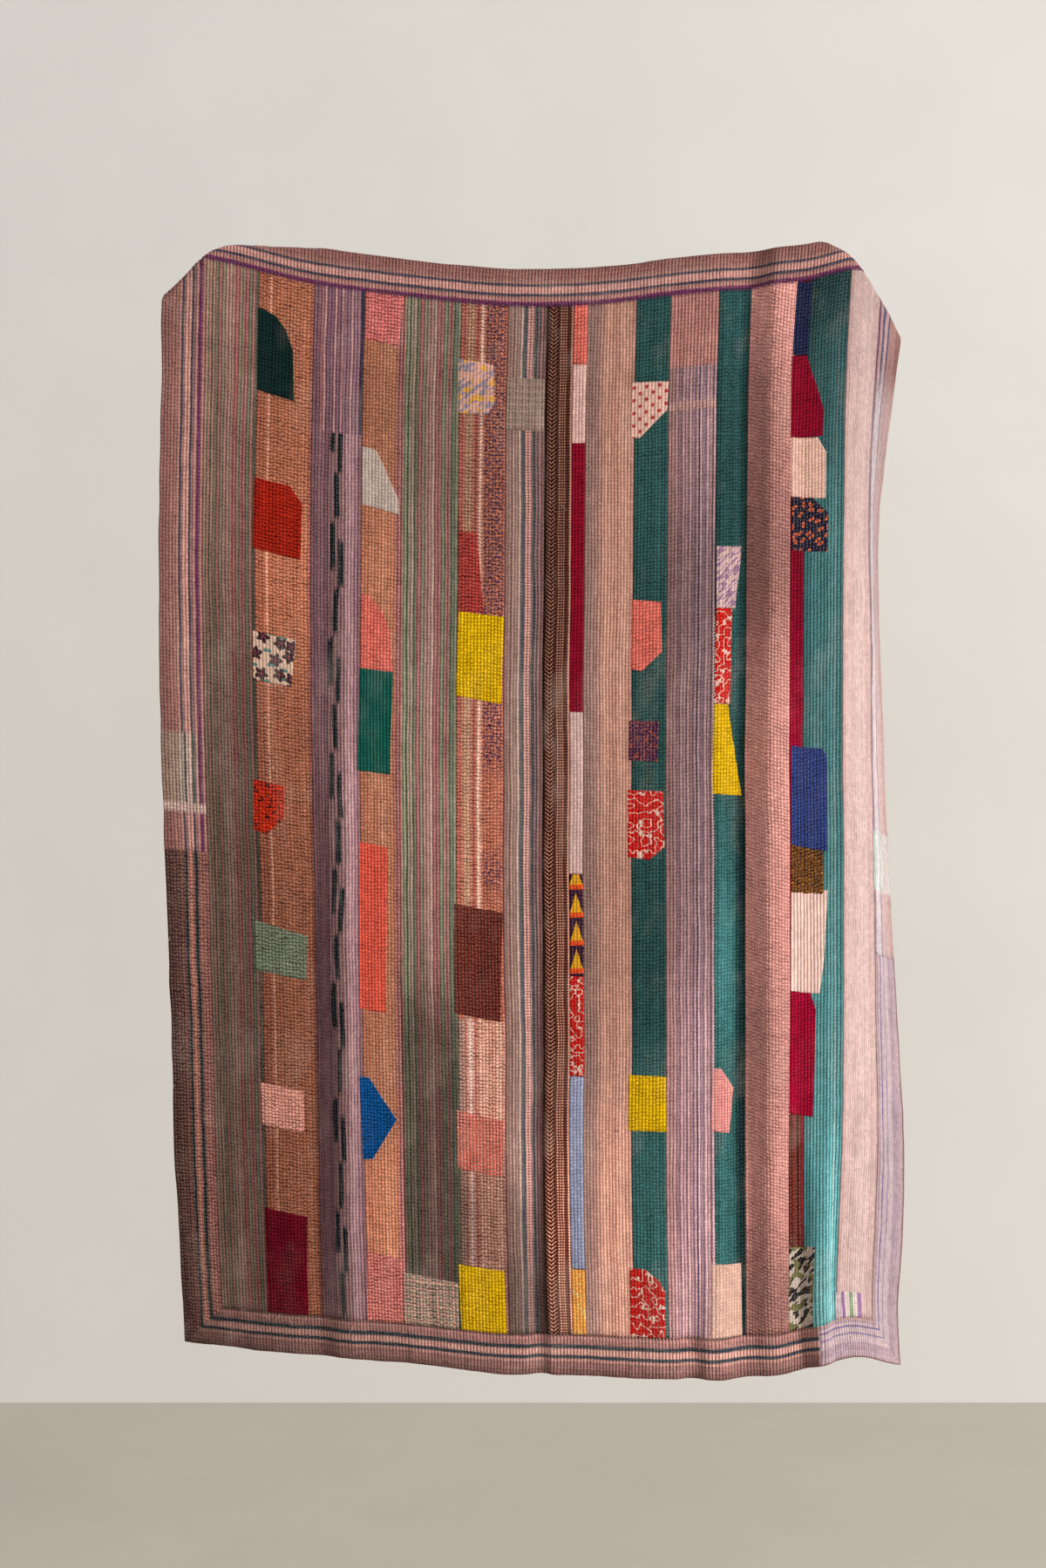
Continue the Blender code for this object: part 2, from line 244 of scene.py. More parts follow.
def height(across, down):
    top = curve(HANG, 1, across)
    hem = curve(HANG, 2, across)
    inside = np.clip(down, 0.0, FIELD_LENGTH)
    return top + (hem - top) * inside / FIELD_LENGTH - (down - inside)


print("the hem hangs back by", max(row[3] for row in HANG), "m at its left end")


# %% The hanging grid
def hanging_grid():
    """The hanging cloth, as a grid of points whose distances across are those of the flat cloth."""
    across = np.arange(-MARGIN, WIDTH + MARGIN, STEP_ACROSS)
    down = np.arange(-TOP_BORDER - MARGIN, FIELD_LENGTH + HEM_BORDER + MARGIN, STEP_DOWN)
    far, low = np.meshgrid(across, down, indexing="xy")
    y = depth_back(far, low)
    steps = np.diff(y, axis=1)
    lengths = np.sqrt(np.maximum(STEP_ACROSS**2 - steps**2, 0.0))
    x = np.concatenate([np.zeros((len(down), 1)), np.cumsum(lengths, axis=1)], axis=1)
    plumb = np.array([np.interp(SEAMS[PLUMB_STRIP + 1], across, row) for row in x])
    x += (curve(PLUMB, 1, down) - plumb)[:, None]
    return across, down, np.stack([x, y, height(far, low)], axis=2)


GRID_ACROSS, GRID_DOWN, GRID = hanging_grid()
NORMALS = np.cross(np.gradient(GRID, axis=0), np.gradient(GRID, axis=1))
NORMALS /= np.linalg.norm(NORMALS, axis=2, keepdims=True)
print("hanging grid:", GRID.shape[1], "by", GRID.shape[0])


def on_grid(values, across, down):
    """The value between the four grid points round each place."""
    i = np.clip((across - GRID_ACROSS[0]) / STEP_ACROSS, 0.0, len(GRID_ACROSS) - 1.001)
    j = np.clip((down - GRID_DOWN[0]) / STEP_DOWN, 0.0, len(GRID_DOWN) - 1.001)
    a, b = i.astype(int), j.astype(int)
    s, t = (i - a)[:, None], (j - b)[:, None]
    return (
        values[b, a] * (1 - s) * (1 - t)
        + values[b, a + 1] * s * (1 - t)
        + values[b + 1, a] * (1 - s) * t
        + values[b + 1, a + 1] * s * t
    )


# %% The turned corners
def crease_side(start, end, points):
    """The distances of the points past a straight crease, and the way past it."""
    along = np.subtract(end, start)
    along = along / np.linalg.norm(along)
    past = np.array([along[1], -along[0]])
    if past[1] > 0.0:
        past = -past
    return (points - start) @ past, past


def roll_back(flat, distance, way, radius):
    """Turns what lies past a crease over, round a roll of the cloth."""
    turned = np.clip(distance / radius, 0.0, math.pi)
    rest = np.maximum(distance - math.pi * radius, 0.0)
    reach = (radius + flat[:, 2]) * np.sin(turned) - rest
    past = distance > 0.0
    moved = flat.copy()
    moved[:, :2] += np.where(past, reach - distance, 0.0)[:, None] * way
    moved[:, 2] = np.where(past, (radius + flat[:, 2]) * np.cos(turned) - radius, flat[:, 2])
    return moved


def turn_left_corner(flat):
    """The left corner goes back over two straight creases and the round bend between them."""
    points = flat[:, :2]
    top, bend, side = (np.array(place) for place in LEFT_CREASE)
    first, first_way = crease_side(bend, top, points)
    second, second_way = crease_side(side, bend, points)
    turn = first_way + second_way
    centre = bend - turn * LEFT_CREASE_ROUND / (1.0 + first_way @ second_way)
    from_centre = points - centre
    reach = np.linalg.norm(from_centre, axis=1)
    way = from_centre / np.maximum(reach, 1e-9)[:, None]
    cross_first = first_way[0] * way[:, 1] - first_way[1] * way[:, 0]
    cross_second = second_way[0] * way[:, 1] - second_way[1] * way[:, 0]
    in_bend = (cross_first < 0.0) & (cross_second > 0.0) & (from_centre @ turn > 0.0)
    nearer_top = (from_centre @ (first_way - second_way)) > 0.0
    distance = np.where(in_bend, reach - LEFT_CREASE_ROUND, np.where(nearer_top, first, second))
    ways = np.where(in_bend[:, None], way, np.where(nearer_top[:, None], first_way, second_way))
    near = points[:, 0] < WIDTH / 2.0
    return roll_back(flat, np.where(near, distance, -1.0), ways, LEFT_ROLL)


def turn_right_corner(flat):
    top, side = (np.array(place) for place in RIGHT_CREASE)
    distance, way = crease_side(top, side, flat[:, :2])
    near = flat[:, 0] > WIDTH / 2.0
    ways = np.broadcast_to(way, (len(flat), 2))
    return roll_back(flat, np.where(near, distance, -1.0), ways, RIGHT_ROLL)


def hung(flat):
    """Bends flat cloth, given as rows of across, down and out, into its hanging shape."""
    flat = turn_right_corner(turn_left_corner(flat))
    across, down = flat[:, 0], flat[:, 1]
    middle = on_grid(GRID, across, down)
    front = on_grid(NORMALS, across, down)
    front /= np.linalg.norm(front, axis=1, keepdims=True)
    return middle + front * flat[:, 2:3]


print("the corners roll back with a radius of", LEFT_ROLL, "m and", RIGHT_ROLL, "m")

# %% [markdown]
# ## What the stitches do to the surface
#
# Each row of running stitches pulls a narrow furrow into the layers, and the cotton between two rows
# stands up as a soft ridge. Washing has shrunk the layers unevenly, so the ridges swell and sink, and
# the cloth puckers. This could all be bump in a material, but a bump is flat when it is seen from
# the side, so the ridges, puckers and drawn-in seams are real here, four columns of the mesh to
# each row of stitches.

# %% Unevenness
LATTICE_SPAN_ACROSS = 1.8
LATTICE_SPAN_DOWN = 2.5
LATTICE_START = -0.15


def lumps(across, down, wide, long, seed):
    """Soft unevenness from -1 to 1, in lumps of a given width and length."""
    size = (int(LATTICE_SPAN_DOWN / long) + 4, int(LATTICE_SPAN_ACROSS / wide) + 4)
    lattice = np.random.default_rng(seed).uniform(-1.0, 1.0, size)
    i = (across - LATTICE_START) / wide
    j = (down - LATTICE_START) / long
    a, b = np.floor(i).astype(int), np.floor(j).astype(int)
    s, t = ease(i - a), ease(j - b)
    upper = lattice[b, a] * (1.0 - s) + lattice[b, a + 1] * s
    lower = lattice[b + 1, a] * (1.0 - s) + lattice[b + 1, a + 1] * s
    return upper * (1.0 - t) + lower * t


SAMPLE = lumps(np.linspace(0.1, 1.3, 50), np.full(50, 0.5), 0.110, 0.260, 14)
print(f"unevenness across the middle: {SAMPLE.min():.2f} to {SAMPLE.max():.2f}")


# %% Rows of stitches
ROW_PITCH = 0.0062
STITCH_PITCH = 0.0064
COLUMNS_PER_ROW = 4


def stitch_rows(width):
    return round(width / ROW_PITCH)


ROW_TOTALS = np.cumsum([0] + [stitch_rows(b - a) for a, b in zip(SEAMS, SEAMS[1:])])
print("rows of stitches across the quilt:", ROW_TOTALS[-1])


def row_number(across):
    """How many rows of stitches lie to the left of a place."""
    return np.interp(across, SEAMS, ROW_TOTALS)


# %% The sewn surface
RIDGE = 0.00050
PUCKER = 0.00080
WRINKLE = 0.00060
SWELL = 0.0016
SEAM_DIP = 0.0007
SEAM_DIP_WIDTH = 0.0028
EDGE_ROUND = 0.0008
EDGE_WIDTH = 0.0040
SEAM_WANDER = 0.0014
ROW_WANDER = 0.0010
EDGE_WANDER = 0.0016


def from_seam(across, down):
    """The distance to the nearest seam of the field."""
    upright = np.min([np.abs(across - seam) for seam in SEAMS[1:-1]], axis=0)
    level = np.minimum(np.abs(down), np.abs(down - FIELD_LENGTH))
    return upright, level


def from_edge(across, down):
    sides = np.minimum(across, WIDTH - across)
    ends = np.minimum(down + TOP_BORDER, FIELD_LENGTH + HEM_BORDER - down)
    return np.maximum(np.minimum(sides, ends), 0.0)


def relief(across, down):
    """How far the sewn surface stands out from a plain sheet."""
    ridges = -np.cos(2.0 * np.pi * row_number(across))
    surface = RIDGE * (1.0 + 0.45 * lumps(across, down, 0.024, 0.040, 11)) * ridges
    surface += PUCKER * lumps(across, down, 0.021, 0.030, 12)
    surface += WRINKLE * lumps(across, down, 0.014, 0.120, 13)
    surface += SWELL * lumps(across, down, 0.110, 0.260, 14)
    upright, level = from_seam(across, down)
    surface -= SEAM_DIP * np.exp(-((np.minimum(upright, level) / SEAM_DIP_WIDTH) ** 2))
    return surface - EDGE_ROUND * (1.0 - ease(from_edge(across, down) / EDGE_WIDTH))


def sewn(across, down, lift=0.0):
    """The place on the hung quilt of points on its flat face, lift above its surface."""
    upright, _ = from_seam(across, down)
    edge = 1.0 - ease(from_edge(across, down) / 0.020)
    aside = SEAM_WANDER * lumps(across, down, 0.300, 0.170, 21)
    aside += ROW_WANDER * lumps(across, down, 0.050, 0.090, 22) * ease(upright / 0.012)
    aside += EDGE_WANDER * lumps(across, down, 0.200, 0.055, 23) * edge
    along = SEAM_WANDER * lumps(across, down, 0.130, 0.300, 24)
    along += EDGE_WANDER * lumps(across, down, 0.060, 0.200, 25) * edge
    out = THICKNESS / 2.0 + relief(across, down) + lift
    return hung(np.stack([across + aside, down + along, out], axis=1))


print("ridges between the rows:", RIDGE, "m high")

# %% [markdown]
# ## Sheets of cloth
#
# A sheet is a grid of quads laid out flat, bent by the function above, and given its thickness by
# a Solidify modifier. It carries two maps. "cloth" holds real metres along and across the piece,
# so a printed stripe keeps its width round a fold. "rows" counts the rows of stitches and the
# stitches in them, so the sewing in the material falls exactly on the ridges of the mesh.

# %% From a flat grid to a sheet
SHEET_THICKNESS = 0.0022
CORNER_DEPTH = 0.156
CORNER_STEP = 0.004
PLAIN_STEP = 0.0128


def evenly(start, end, step):
    count = max(1, math.ceil((end - start) / step - 1e-6))
    return np.linspace(start, end, count + 1)


def rows_down(fine):
    """The rows of the mesh down the field, finer beside the turned corners."""
    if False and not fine:
        return evenly(0.0, FIELD_LENGTH, 2.0 * PLAIN_STEP)
    corner = evenly(0.0, CORNER_DEPTH, CORNER_STEP if fine else PLAIN_STEP)
    return np.concatenate([corner, evenly(CORNER_DEPTH, FIELD_LENGTH, PLAIN_STEP)[1:]])


def columns_across(start, end):
    count = COLUMNS_PER_ROW * max(1, stitch_rows(end - start))
    return np.linspace(start, end, count + 1)


def finish_sheet(name, points, faces, maps, thickness, materials, choices=None):
    """Makes an object of the sheet's front, with its maps, and thickens it away from the front."""
    mesh = bpy.data.meshes.new(name)
    mesh.from_pydata(points.tolist(), [], faces.tolist())
    corners = np.empty(len(mesh.loops), dtype=np.int64)
    mesh.loops.foreach_get("vertex_index", corners)
    for title, values in maps.items():
        layer = mesh.uv_layers.new(name=title)
        layer.data.foreach_set("uv", values[corners].astype(np.float32).ravel())
    for material in materials:
        mesh.materials.append(material)
    if choices is not None:
        mesh.polygons.foreach_set("material_index", choices)
    mesh.shade_smooth()
    piece = bpy.data.objects.new(name, mesh)
    bpy.context.scene.collection.objects.link(piece)
    solid = piece.modifiers.new("thickness", "SOLIDIFY")
    solid.thickness = thickness
    solid.offset = -1.0
    solid.material_offset = 1 if choices is None else 0
    bpy.context.view_layer.objects.active = piece
    piece.select_set(True)
    bpy.ops.object.modifier_apply(modifier=solid.name)
    piece.select_set(False)
    return piece


def grid_faces(rows, columns):
    """The quads of a grid, wound so that they face out of the front."""
    j, i = np.meshgrid(np.arange(rows - 1), np.arange(columns - 1), indexing="ij")
    corner = (j * columns + i).ravel()
    return np.stack([corner + columns, corner + columns + 1, corner + 1, corner], axis=1)


def sheet_of(name, across, down, cloth_map, face, back):
    """A sheet from two grids of flat places. Points of the mitres that fall together are merged."""
    flat_across, flat_down = across.ravel(), down.ravel()
    points = sewn(flat_across, flat_down)
    rows_map = np.stack([row_number(flat_across), -flat_down / STITCH_PITCH], axis=1)
    faces = grid_faces(*across.shape)
    keys = np.round(np.stack([flat_across, flat_down], axis=1) / 1e-5).astype(np.int64)
    _, first, same = np.unique(keys, axis=0, return_index=True, return_inverse=True)
    faces = same.ravel()[faces]
    faces = [tuple(dict.fromkeys(quad)) for quad in faces.tolist()]
    faces = np.array([face for face in faces if len(face) > 2], dtype=object)
    maps = {"cloth": cloth_map.reshape(-1, 2)[first], "rows": rows_map[first]}
    return finish_sheet(name, points[first], faces, maps, SHEET_THICKNESS, [face, back])


print("columns in the mesh of the first strip:", len(columns_across(SEAMS[1], SEAMS[2])) - 1)

# %% [markdown]
# ## Colours and shader helpers
#
# Colours are written as they look on a screen, from 0 to 255, and turned into the linear values that
# shaders work with. A few short helpers add nodes and link them, so that the recipe of each
# cloth below can be read from left to right.


# %% Shader helpers
def tint(red, green, blue):
    """A linear colour from the screen's 0 to 255."""
    shares = [channel / 255.0 for channel in (red, green, blue)]
    linear = [((c + 0.055) / 1.055) ** 2.4 if c > 0.04045 else c / 12.92 for c in shares]
    return (*linear, 1.0)


def feed(tree, source, target):
    """Links a socket, or sets it where the source is a plain value."""
    if isinstance(source, bpy.types.NodeSocket):
        tree.links.new(source, target)
    else:
        target.default_value = source


def node_of(tree, kind, *values, **settings):
    """A node with its settings, and with its first inputs fed in order."""
    node = tree.nodes.new("ShaderNode" + kind)
    for name, setting in settings.items():
        setattr(node, name, setting)
    for socket, value in zip(node.inputs, values):
        feed(tree, value, socket)
    return node


def work_out(tree, operation, *values):
    return node_of(tree, "Math", *values, operation=operation).outputs[0]


def plus(tree, first, second):
    return work_out(tree, "ADD", first, second)


def minus(tree, first, second):
    return work_out(tree, "SUBTRACT", first, second)


def times(tree, first, second):
    return work_out(tree, "MULTIPLY", first, second)


def over(tree, first, second):
    return work_out(tree, "DIVIDE", first, second)


def scaled(tree, value, factor, offset):
    """The value times a factor, plus an offset."""
    return work_out(tree, "MULTIPLY_ADD", value, factor, offset)


def away_from(tree, value, middle):
    """How far a value is from a middle, to either side."""
    return work_out(tree, "ABSOLUTE", minus(tree, value, middle))


def between(tree, value, low, high, to_low=0.0, to_high=1.0):
    """A smooth rise from to_low to to_high, as value goes from low to high."""
    values = (value, low, high, to_low, to_high)
    return node_of(tree, "MapRange", *values, interpolation_type="SMOOTHSTEP").outputs[0]


def band(tree, value, low, high, soft):
    """A mask of what lies between low and high, with soft edges."""
    rise = between(tree, value, low, low + soft)
    return times(tree, rise, between(tree, value, high, high - soft))


def wave(tree, turns):
    """A wave from 0 to 1 that is 1 at every whole number."""
    turned = times(tree, turns, 2.0 * math.pi)
    return scaled(tree, work_out(tree, "COSINE", turned), 0.5, 0.5)


def blend(tree, share, first, second, kind="MIX"):
    node = node_of(tree, "Mix", data_type="RGBA", blend_type=kind)
    for socket, value in zip((node.inputs[0], node.inputs[6], node.inputs[7]), (share, first, second)):
        feed(tree, value, socket)
    return node.outputs[2]


def toned(tree, color, tone):
    """The colour, multiplied by a colour or by a plain number that varies over the cloth."""
    return blend(tree, 1.0, color, tone, "MULTIPLY")


def grey(tree, value):
    return node_of(tree, "CombineColor", value, value, value).outputs[0]


def apart(tree, place):
    node = node_of(tree, "SeparateXYZ", place)
    return node.outputs[0], node.outputs[1]


def together(tree, across, down):
    return node_of(tree, "CombineXYZ", across, down).outputs[0]


def stretched(tree, place, across, down):
    node = node_of(tree, "VectorMath", place, operation="MULTIPLY")
    node.inputs[1].default_value = (across, down, 1.0)
    return node.outputs[0]


def repeats(tree, place, size):
    """The place, counted in repeats of a motif of that size."""
    return stretched(tree, place, 1.0 / size, 1.0 / size)


def noise(tree, place, detail=2.0):
    """Cloudy noise, about one lump for each unit of the place."""
    node = node_of(tree, "TexNoise", place, noise_dimensions="2D")
    node.inputs["Scale"].default_value = 1.0
    node.inputs["Detail"].default_value = detail
    return node.outputs[0]


print("a screen grey of 128, in linear light:", round(tint(128, 128, 128)[0], 3))


# %% Helpers for groups and materials
def new_group(name, inputs, outputs):
    """An empty node group with named inputs (a default value each) and outputs."""
    group = bpy.data.node_groups.new(name, "ShaderNodeTree")
    kinds = {float: "NodeSocketFloat", tuple: "NodeSocketColor", None: "NodeSocketVector"}
    for title, default in inputs.items():
        kind = kinds[None if default is None else type(default)]
        socket = group.interface.new_socket(title, in_out="INPUT", socket_type=kind)
        if default is not None:
            socket.default_value = default
    for title, kind in outputs.items():
        group.interface.new_socket(title, in_out="OUTPUT", socket_type=kinds[kind])
    return group, group.nodes.new("NodeGroupInput").outputs, group.nodes.new("NodeGroupOutput").inputs


def use_group(tree, group, **values):
    node = node_of(tree, "Group", node_tree=group)
    for title, value in values.items():
        feed(tree, value, node.inputs[title.replace("_", " ")])
    return node.outputs


def new_material(name, finish):
    """A material with a Principled BSDF, whose plain values are set from finish."""
    material = bpy.data.materials.new(name)
    material.use_nodes = True
    shader = material.node_tree.nodes["Principled BSDF"]
    for title, value in finish.items():
        shader.inputs[title].default_value = value
    return material, material.node_tree, shader


print("materials before the first cotton:", len(bpy.data.materials))

# %% [markdown]
# ## The running stitches, as a node group
#
# On the real quilt a stitch shows as a short bright dash in a shadowed furrow, and where the needle goes
# down in line with its neighbours, a level furrow forms as well. Together they make a small waffle, in
# which each cell catches the light a little differently. Every cloth of the quilt is sewn through in
# the same way, so this is one node group, with the strength of both sets of furrows, and their slant,
# as its inputs.


# %% Node group: kantha stitch
# Lumps of unevenness for each row across and each stitch down.
DRIFT_LUMPS = (0.16, 0.13)
JITTER_LUMPS = (0.9, 0.7)
TENSION_LUMPS = (0.33, 0.27)
ROW_SWAY = 0.5
LEVEL_SWAY = 2.6
SLACKEST = 0.74
FURROW_POWER = 2.0
FURROW_BLEND = 0.2
COLUMN_SHARE = 0.35
STITCH_INPUTS = {"Rows": 0.8, "Levels": 0.6, "Slant": 0.0, "Wander": 0.5}


def chance(tree, cell, dimensions, entrance):
    """A random number from 0 to 1 for each cell."""
    node = node_of(tree, "TexWhiteNoise", noise_dimensions=dimensions)
    feed(tree, cell, node.inputs[entrance])
    return node.outputs[0]


def make_stitch_group():
    group, given, result = new_group(
        "kantha_stitch",
        {"Rows map": None, **STITCH_INPUTS},
        {"Furrow": float, "Height": float, "Thread": float, "Cell": float},
    )
    place = given["Rows map"]
    across, down = apart(group, place)
    drift = minus(group, noise(group, stretched(group, place, *DRIFT_LUMPS)), 0.5)
    jitter = minus(group, noise(group, stretched(group, place, *JITTER_LUMPS)), 0.5)
    sway = times(group, plus(group, drift, jitter), given["Wander"])
    row = plus(group, across, times(group, sway, ROW_SWAY))
    slanting = plus(group, down, times(group, across, given["Slant"]))
    level = plus(group, slanting, times(group, sway, LEVEL_SWAY))
    row_wave, level_wave = wave(group, row), wave(group, level)

    tension = noise(group, stretched(group, place, *TENSION_LUMPS))
    pull = between(group, tension, 0.3, 0.7, SLACKEST, 1.0)
    row_furrow = times(group, work_out(group, "POWER", row_wave, FURROW_POWER), given["Rows"])
    level_furrow = times(group, work_out(group, "POWER", level_wave, FURROW_POWER), given["Levels"])
    deepest = work_out(group, "SMOOTH_MAX", row_furrow, level_furrow, FURROW_BLEND)
    furrow = times(group, deepest, pull)
    feed(group, furrow, result["Furrow"])
    feed(group, minus(group, 1.0, furrow), result["Height"])

    column, line = work_out(group, "FLOOR", row), work_out(group, "FLOOR", level)
    by_cell = chance(group, together(group, column, line), "2D", "Vector")
    by_column = times(group, chance(group, column, "1D", "W"), COLUMN_SHARE)
    feed(group, scaled(group, by_cell, 1.0 - COLUMN_SHARE, by_column), result["Cell"])
    in_row = between(group, row_wave, 0.72, 0.96)
    in_stitch = between(group, level_wave, 0.75, 0.35)
    feed(group, times(group, in_row, in_stitch), result["Thread"])
    return group


STITCH = make_stitch_group()
print("node group:", STITCH.name)

# %% [markdown]
# ## Worn cotton, as a node group
#
# The cloth itself is plain handloom cotton, softened by years of washing. Its yarns differ a little,
# which shows as fine upright streaks, and the dye has faded in clouds. The group takes any colour or
# print, and gives it those streaks and clouds.


# %% Node group: worn cotton
# Lumps for each metre across and down.
STREAK_LUMPS = (620.0, 16.0)
YARN_LUMPS = (900.0, 700.0)
CLOUD_LUMPS = (17.0, 8.0)
STREAK_DEPTH = 0.22
YARN_TONES = (0.86, 1.14)
FADED = tint(226, 205, 190)
FADED_SHARE = 0.34
GRIMED = tint(70, 52, 46)
GRIMED_SHARE = 0.30
COTTON_INPUTS = {"Streaks": 0.5, "Fading": 0.35}
PLAIN_GREY = (0.5, 0.5, 0.5, 1.0)


def make_cotton_group():
    group, given, result = new_group(
        "worn_cotton",
        {"Cloth map": None, "Color": PLAIN_GREY, **COTTON_INPUTS},
        {"Color": tuple, "Weave": float},
    )
    place = given["Cloth map"]
    streak = noise(group, stretched(group, place, *STREAK_LUMPS), 3.0)
    yarn = noise(group, stretched(group, place, *YARN_LUMPS), 2.0)
    cloud = noise(group, stretched(group, place, *CLOUD_LUMPS), 4.0)
    streaky = times(group, between(group, streak, 0.25, 0.75, -1.0, 1.0), given["Streaks"])
    yarn_tone = between(group, yarn, 0.2, 0.8, *YARN_TONES)
    tone = times(group, scaled(group, streaky, STREAK_DEPTH, 1.0), yarn_tone)
    dyed = toned(group, given["Color"], grey(group, tone))
    fading = times(group, between(group, cloud, 0.46, 0.80), given["Fading"])
    faded = blend(group, fading, dyed, blend(group, FADED_SHARE, dyed, FADED))
    grime = times(group, between(group, cloud, 0.50, 0.22), given["Fading"])
    feed(group, blend(group, times(group, grime, GRIMED_SHARE), faded, GRIMED), result["Color"])
    feed(group, yarn, result["Weave"])
    return group


COTTON = make_cotton_group()
print("node group:", COTTON.name)

# %% [markdown]
# ## Cloth sewn with kantha
#
# This group joins the two others. The furrows are darker, because light does not reach into them and
# because the fading sun did not either, and the thread shows as lighter dashes. It gives a
# colour, a roughness that is a little smoother on the worn ridges, and the normal of the small
# relief that the mesh is too coarse to hold.


# %% Node group: kantha cloth
RIDGE_TINT = (1.0, 0.97, 0.96, 1.0)
FURROW_TINT = (0.17, 0.13, 0.14, 1.0)
CELL_TONES = (0.90, 1.13)
RIDGE_ROUGHNESS = 0.80
FURROW_ROUGHER = 0.12
YARN_ROUGHER = 0.08
YARN_RELIEF = 0.18
RELIEF = 0.0013


def make_cloth_group():
    group, given, result = new_group(
        "kantha_cloth",
        {
            "Cloth map": None,
            "Rows map": None,
            "Color": PLAIN_GREY,
            "Thread color": (0.8, 0.7, 0.6, 1.0),
            **STITCH_INPUTS,
            "Contrast": 0.6,
            "Thread": 0.3,
            **COTTON_INPUTS,
        },
        {"Color": tuple, "Roughness": float, "Normal": None},
    )
    sewing = {title: given[title] for title in STITCH_INPUTS}
    stitch = use_group(group, STITCH, Rows_map=given["Rows map"], **sewing)
    ageing = {title: given[title] for title in COTTON_INPUTS}
    cotton = use_group(group, COTTON, Cloth_map=given["Cloth map"], Color=given["Color"], **ageing)

    tone = between(group, stitch["Cell"], 0.1, 0.9, *CELL_TONES)
    ridge = toned(group, toned(group, cotton["Color"], RIDGE_TINT), grey(group, tone))
    furrow = toned(group, cotton["Color"], FURROW_TINT)
    shadow = times(group, stitch["Furrow"], given["Contrast"])
    dash = times(group, stitch["Thread"], given["Thread"])
    color = blend(group, dash, blend(group, shadow, ridge, furrow), given["Thread color"])
    feed(group, color, result["Color"])

    rough = scaled(group, stitch["Furrow"], FURROW_ROUGHER, RIDGE_ROUGHNESS)
    feed(group, scaled(group, cotton["Weave"], YARN_ROUGHER, rough), result["Roughness"])
    bump = node_of(group, "Bump")
    bump.inputs["Strength"].default_value = 1.0
    bump.inputs["Distance"].default_value = RELIEF
    feed(group, scaled(group, cotton["Weave"], YARN_RELIEF, stitch["Height"]), bump.inputs["Height"])
    feed(group, bump.outputs[0], result["Normal"])
    return group


KANTHA = make_cloth_group()
print("node group:", KANTHA.name)

# %% A material from a print and its sewing
PLAIN = {"Contrast": 0.95, "Thread": 0.22}
SEWING = {
    "waffle": {"Rows": 0.85, "Levels": 0.80, "Slant": 0.0},
    "levels": {"Rows": 0.60, "Levels": 1.00, "Slant": 0.0},
    "ribs": {"Rows": 1.00, "Levels": 0.30, "Slant": 0.0},
    "ripples": {"Rows": 0.60, "Levels": 0.85, "Slant": 0.30},
    "soft": {"Rows": 0.55, "Levels": 0.35, "Slant": 0.10},
}
COTTON_FINISH = {"Specular IOR Level": 0.06, "Sheen Weight": 0.02, "Sheen Roughness": 0.45}
CLOTHS = {}


def map_of(tree, title):
    return node_of(tree, "UVMap", uv_map=title).outputs[0]


def ramp_of(tree, share, stops, interpolation="LINEAR"):
    """A colour ramp along a share from 0 to 1. stops lists (position, linear colour)."""
    node = node_of(tree, "ValToRGB", share)
    node.color_ramp.interpolation = interpolation
    elements = node.color_ramp.elements
    while len(elements) < len(stops):
        elements.new(1.0)
    for element, (position, color) in zip(elements, stops):
        element.position = min(max(position, 0.0), 1.0)
        element.color = color
    return node.outputs[0]


def overlaid_fold_light_and_shade(tree, place, color, tint_and_painted_shade):
    """The colour with a tint and painted light and shade of the folds: the table holds one tint, and then
    (down in m, tone) for places down the cloth.
    """
    tinge, *tones = tint_and_painted_shade
    stops = [(down / FIELD_LENGTH, (*(tone * channel for channel in tinge), 1.0)) for down, tone in tones]
    share = over(tree, apart(tree, place)[1], FIELD_LENGTH)
    return toned(tree, color, ramp_of(tree, share, stops, "EASE"))


def cloth(name, paint, sewing, thread=(214, 190, 170), tint_and_painted_shade=None, **settings):
    """A cotton. paint is one colour, or a function that draws a print on the cloth map."""
    material, tree, shader = new_material(name, COTTON_FINISH)
    place = map_of(tree, "cloth")
    color = paint(tree, place) if callable(paint) else tint(*paint)
    # the tones down the cloth are painted light and shade of its folds
    if tint_and_painted_shade:
        color = overlaid_fold_light_and_shade(tree, place, color, tint_and_painted_shade)
    values = {**PLAIN, **SEWING[sewing], **{key.capitalize(): value for key, value in settings.items()}}
    given = {"Cloth_map": place, "Rows_map": map_of(tree, "rows"), "Color": color}
    surface = use_group(tree, KANTHA, Thread_color=tint(*thread), **given, **values)
    tree.links.new(surface["Color"], shader.inputs["Base Color"])
    tree.links.new(surface["Roughness"], shader.inputs["Roughness"])
    tree.links.new(surface["Normal"], shader.inputs["Normal"])
    CLOTHS[name] = material
    return material


print("ways of sewing:", ", ".join(SEWING))

# %% [markdown]
# ## Stripes
#
# Most of the long strips are cut from striped saris. A stripe is a colour that starts so many
# millimetres from the strip's left edge. The stripes are read from a colour ramp, with a soft change
# where the weaver changed yarn, and they waver a little where the stitches pull them.

# %% Striped cloth
STRIPE_SOFTNESS = 0.0011
STRIPE_WAVER = 0.0012
WAVER_LUMPS = (60.0, 18.0)
JOIN_SOFTNESS = 0.004


def wavering(tree, place):
    """The place across the cloth, pulled a little to and fro by the stitches."""
    across, down = apart(tree, place)
    pull = minus(tree, noise(tree, stretched(tree, place, *WAVER_LUMPS)), 0.5)
    return plus(tree, across, times(tree, pull, 2.0 * STRIPE_WAVER)), down


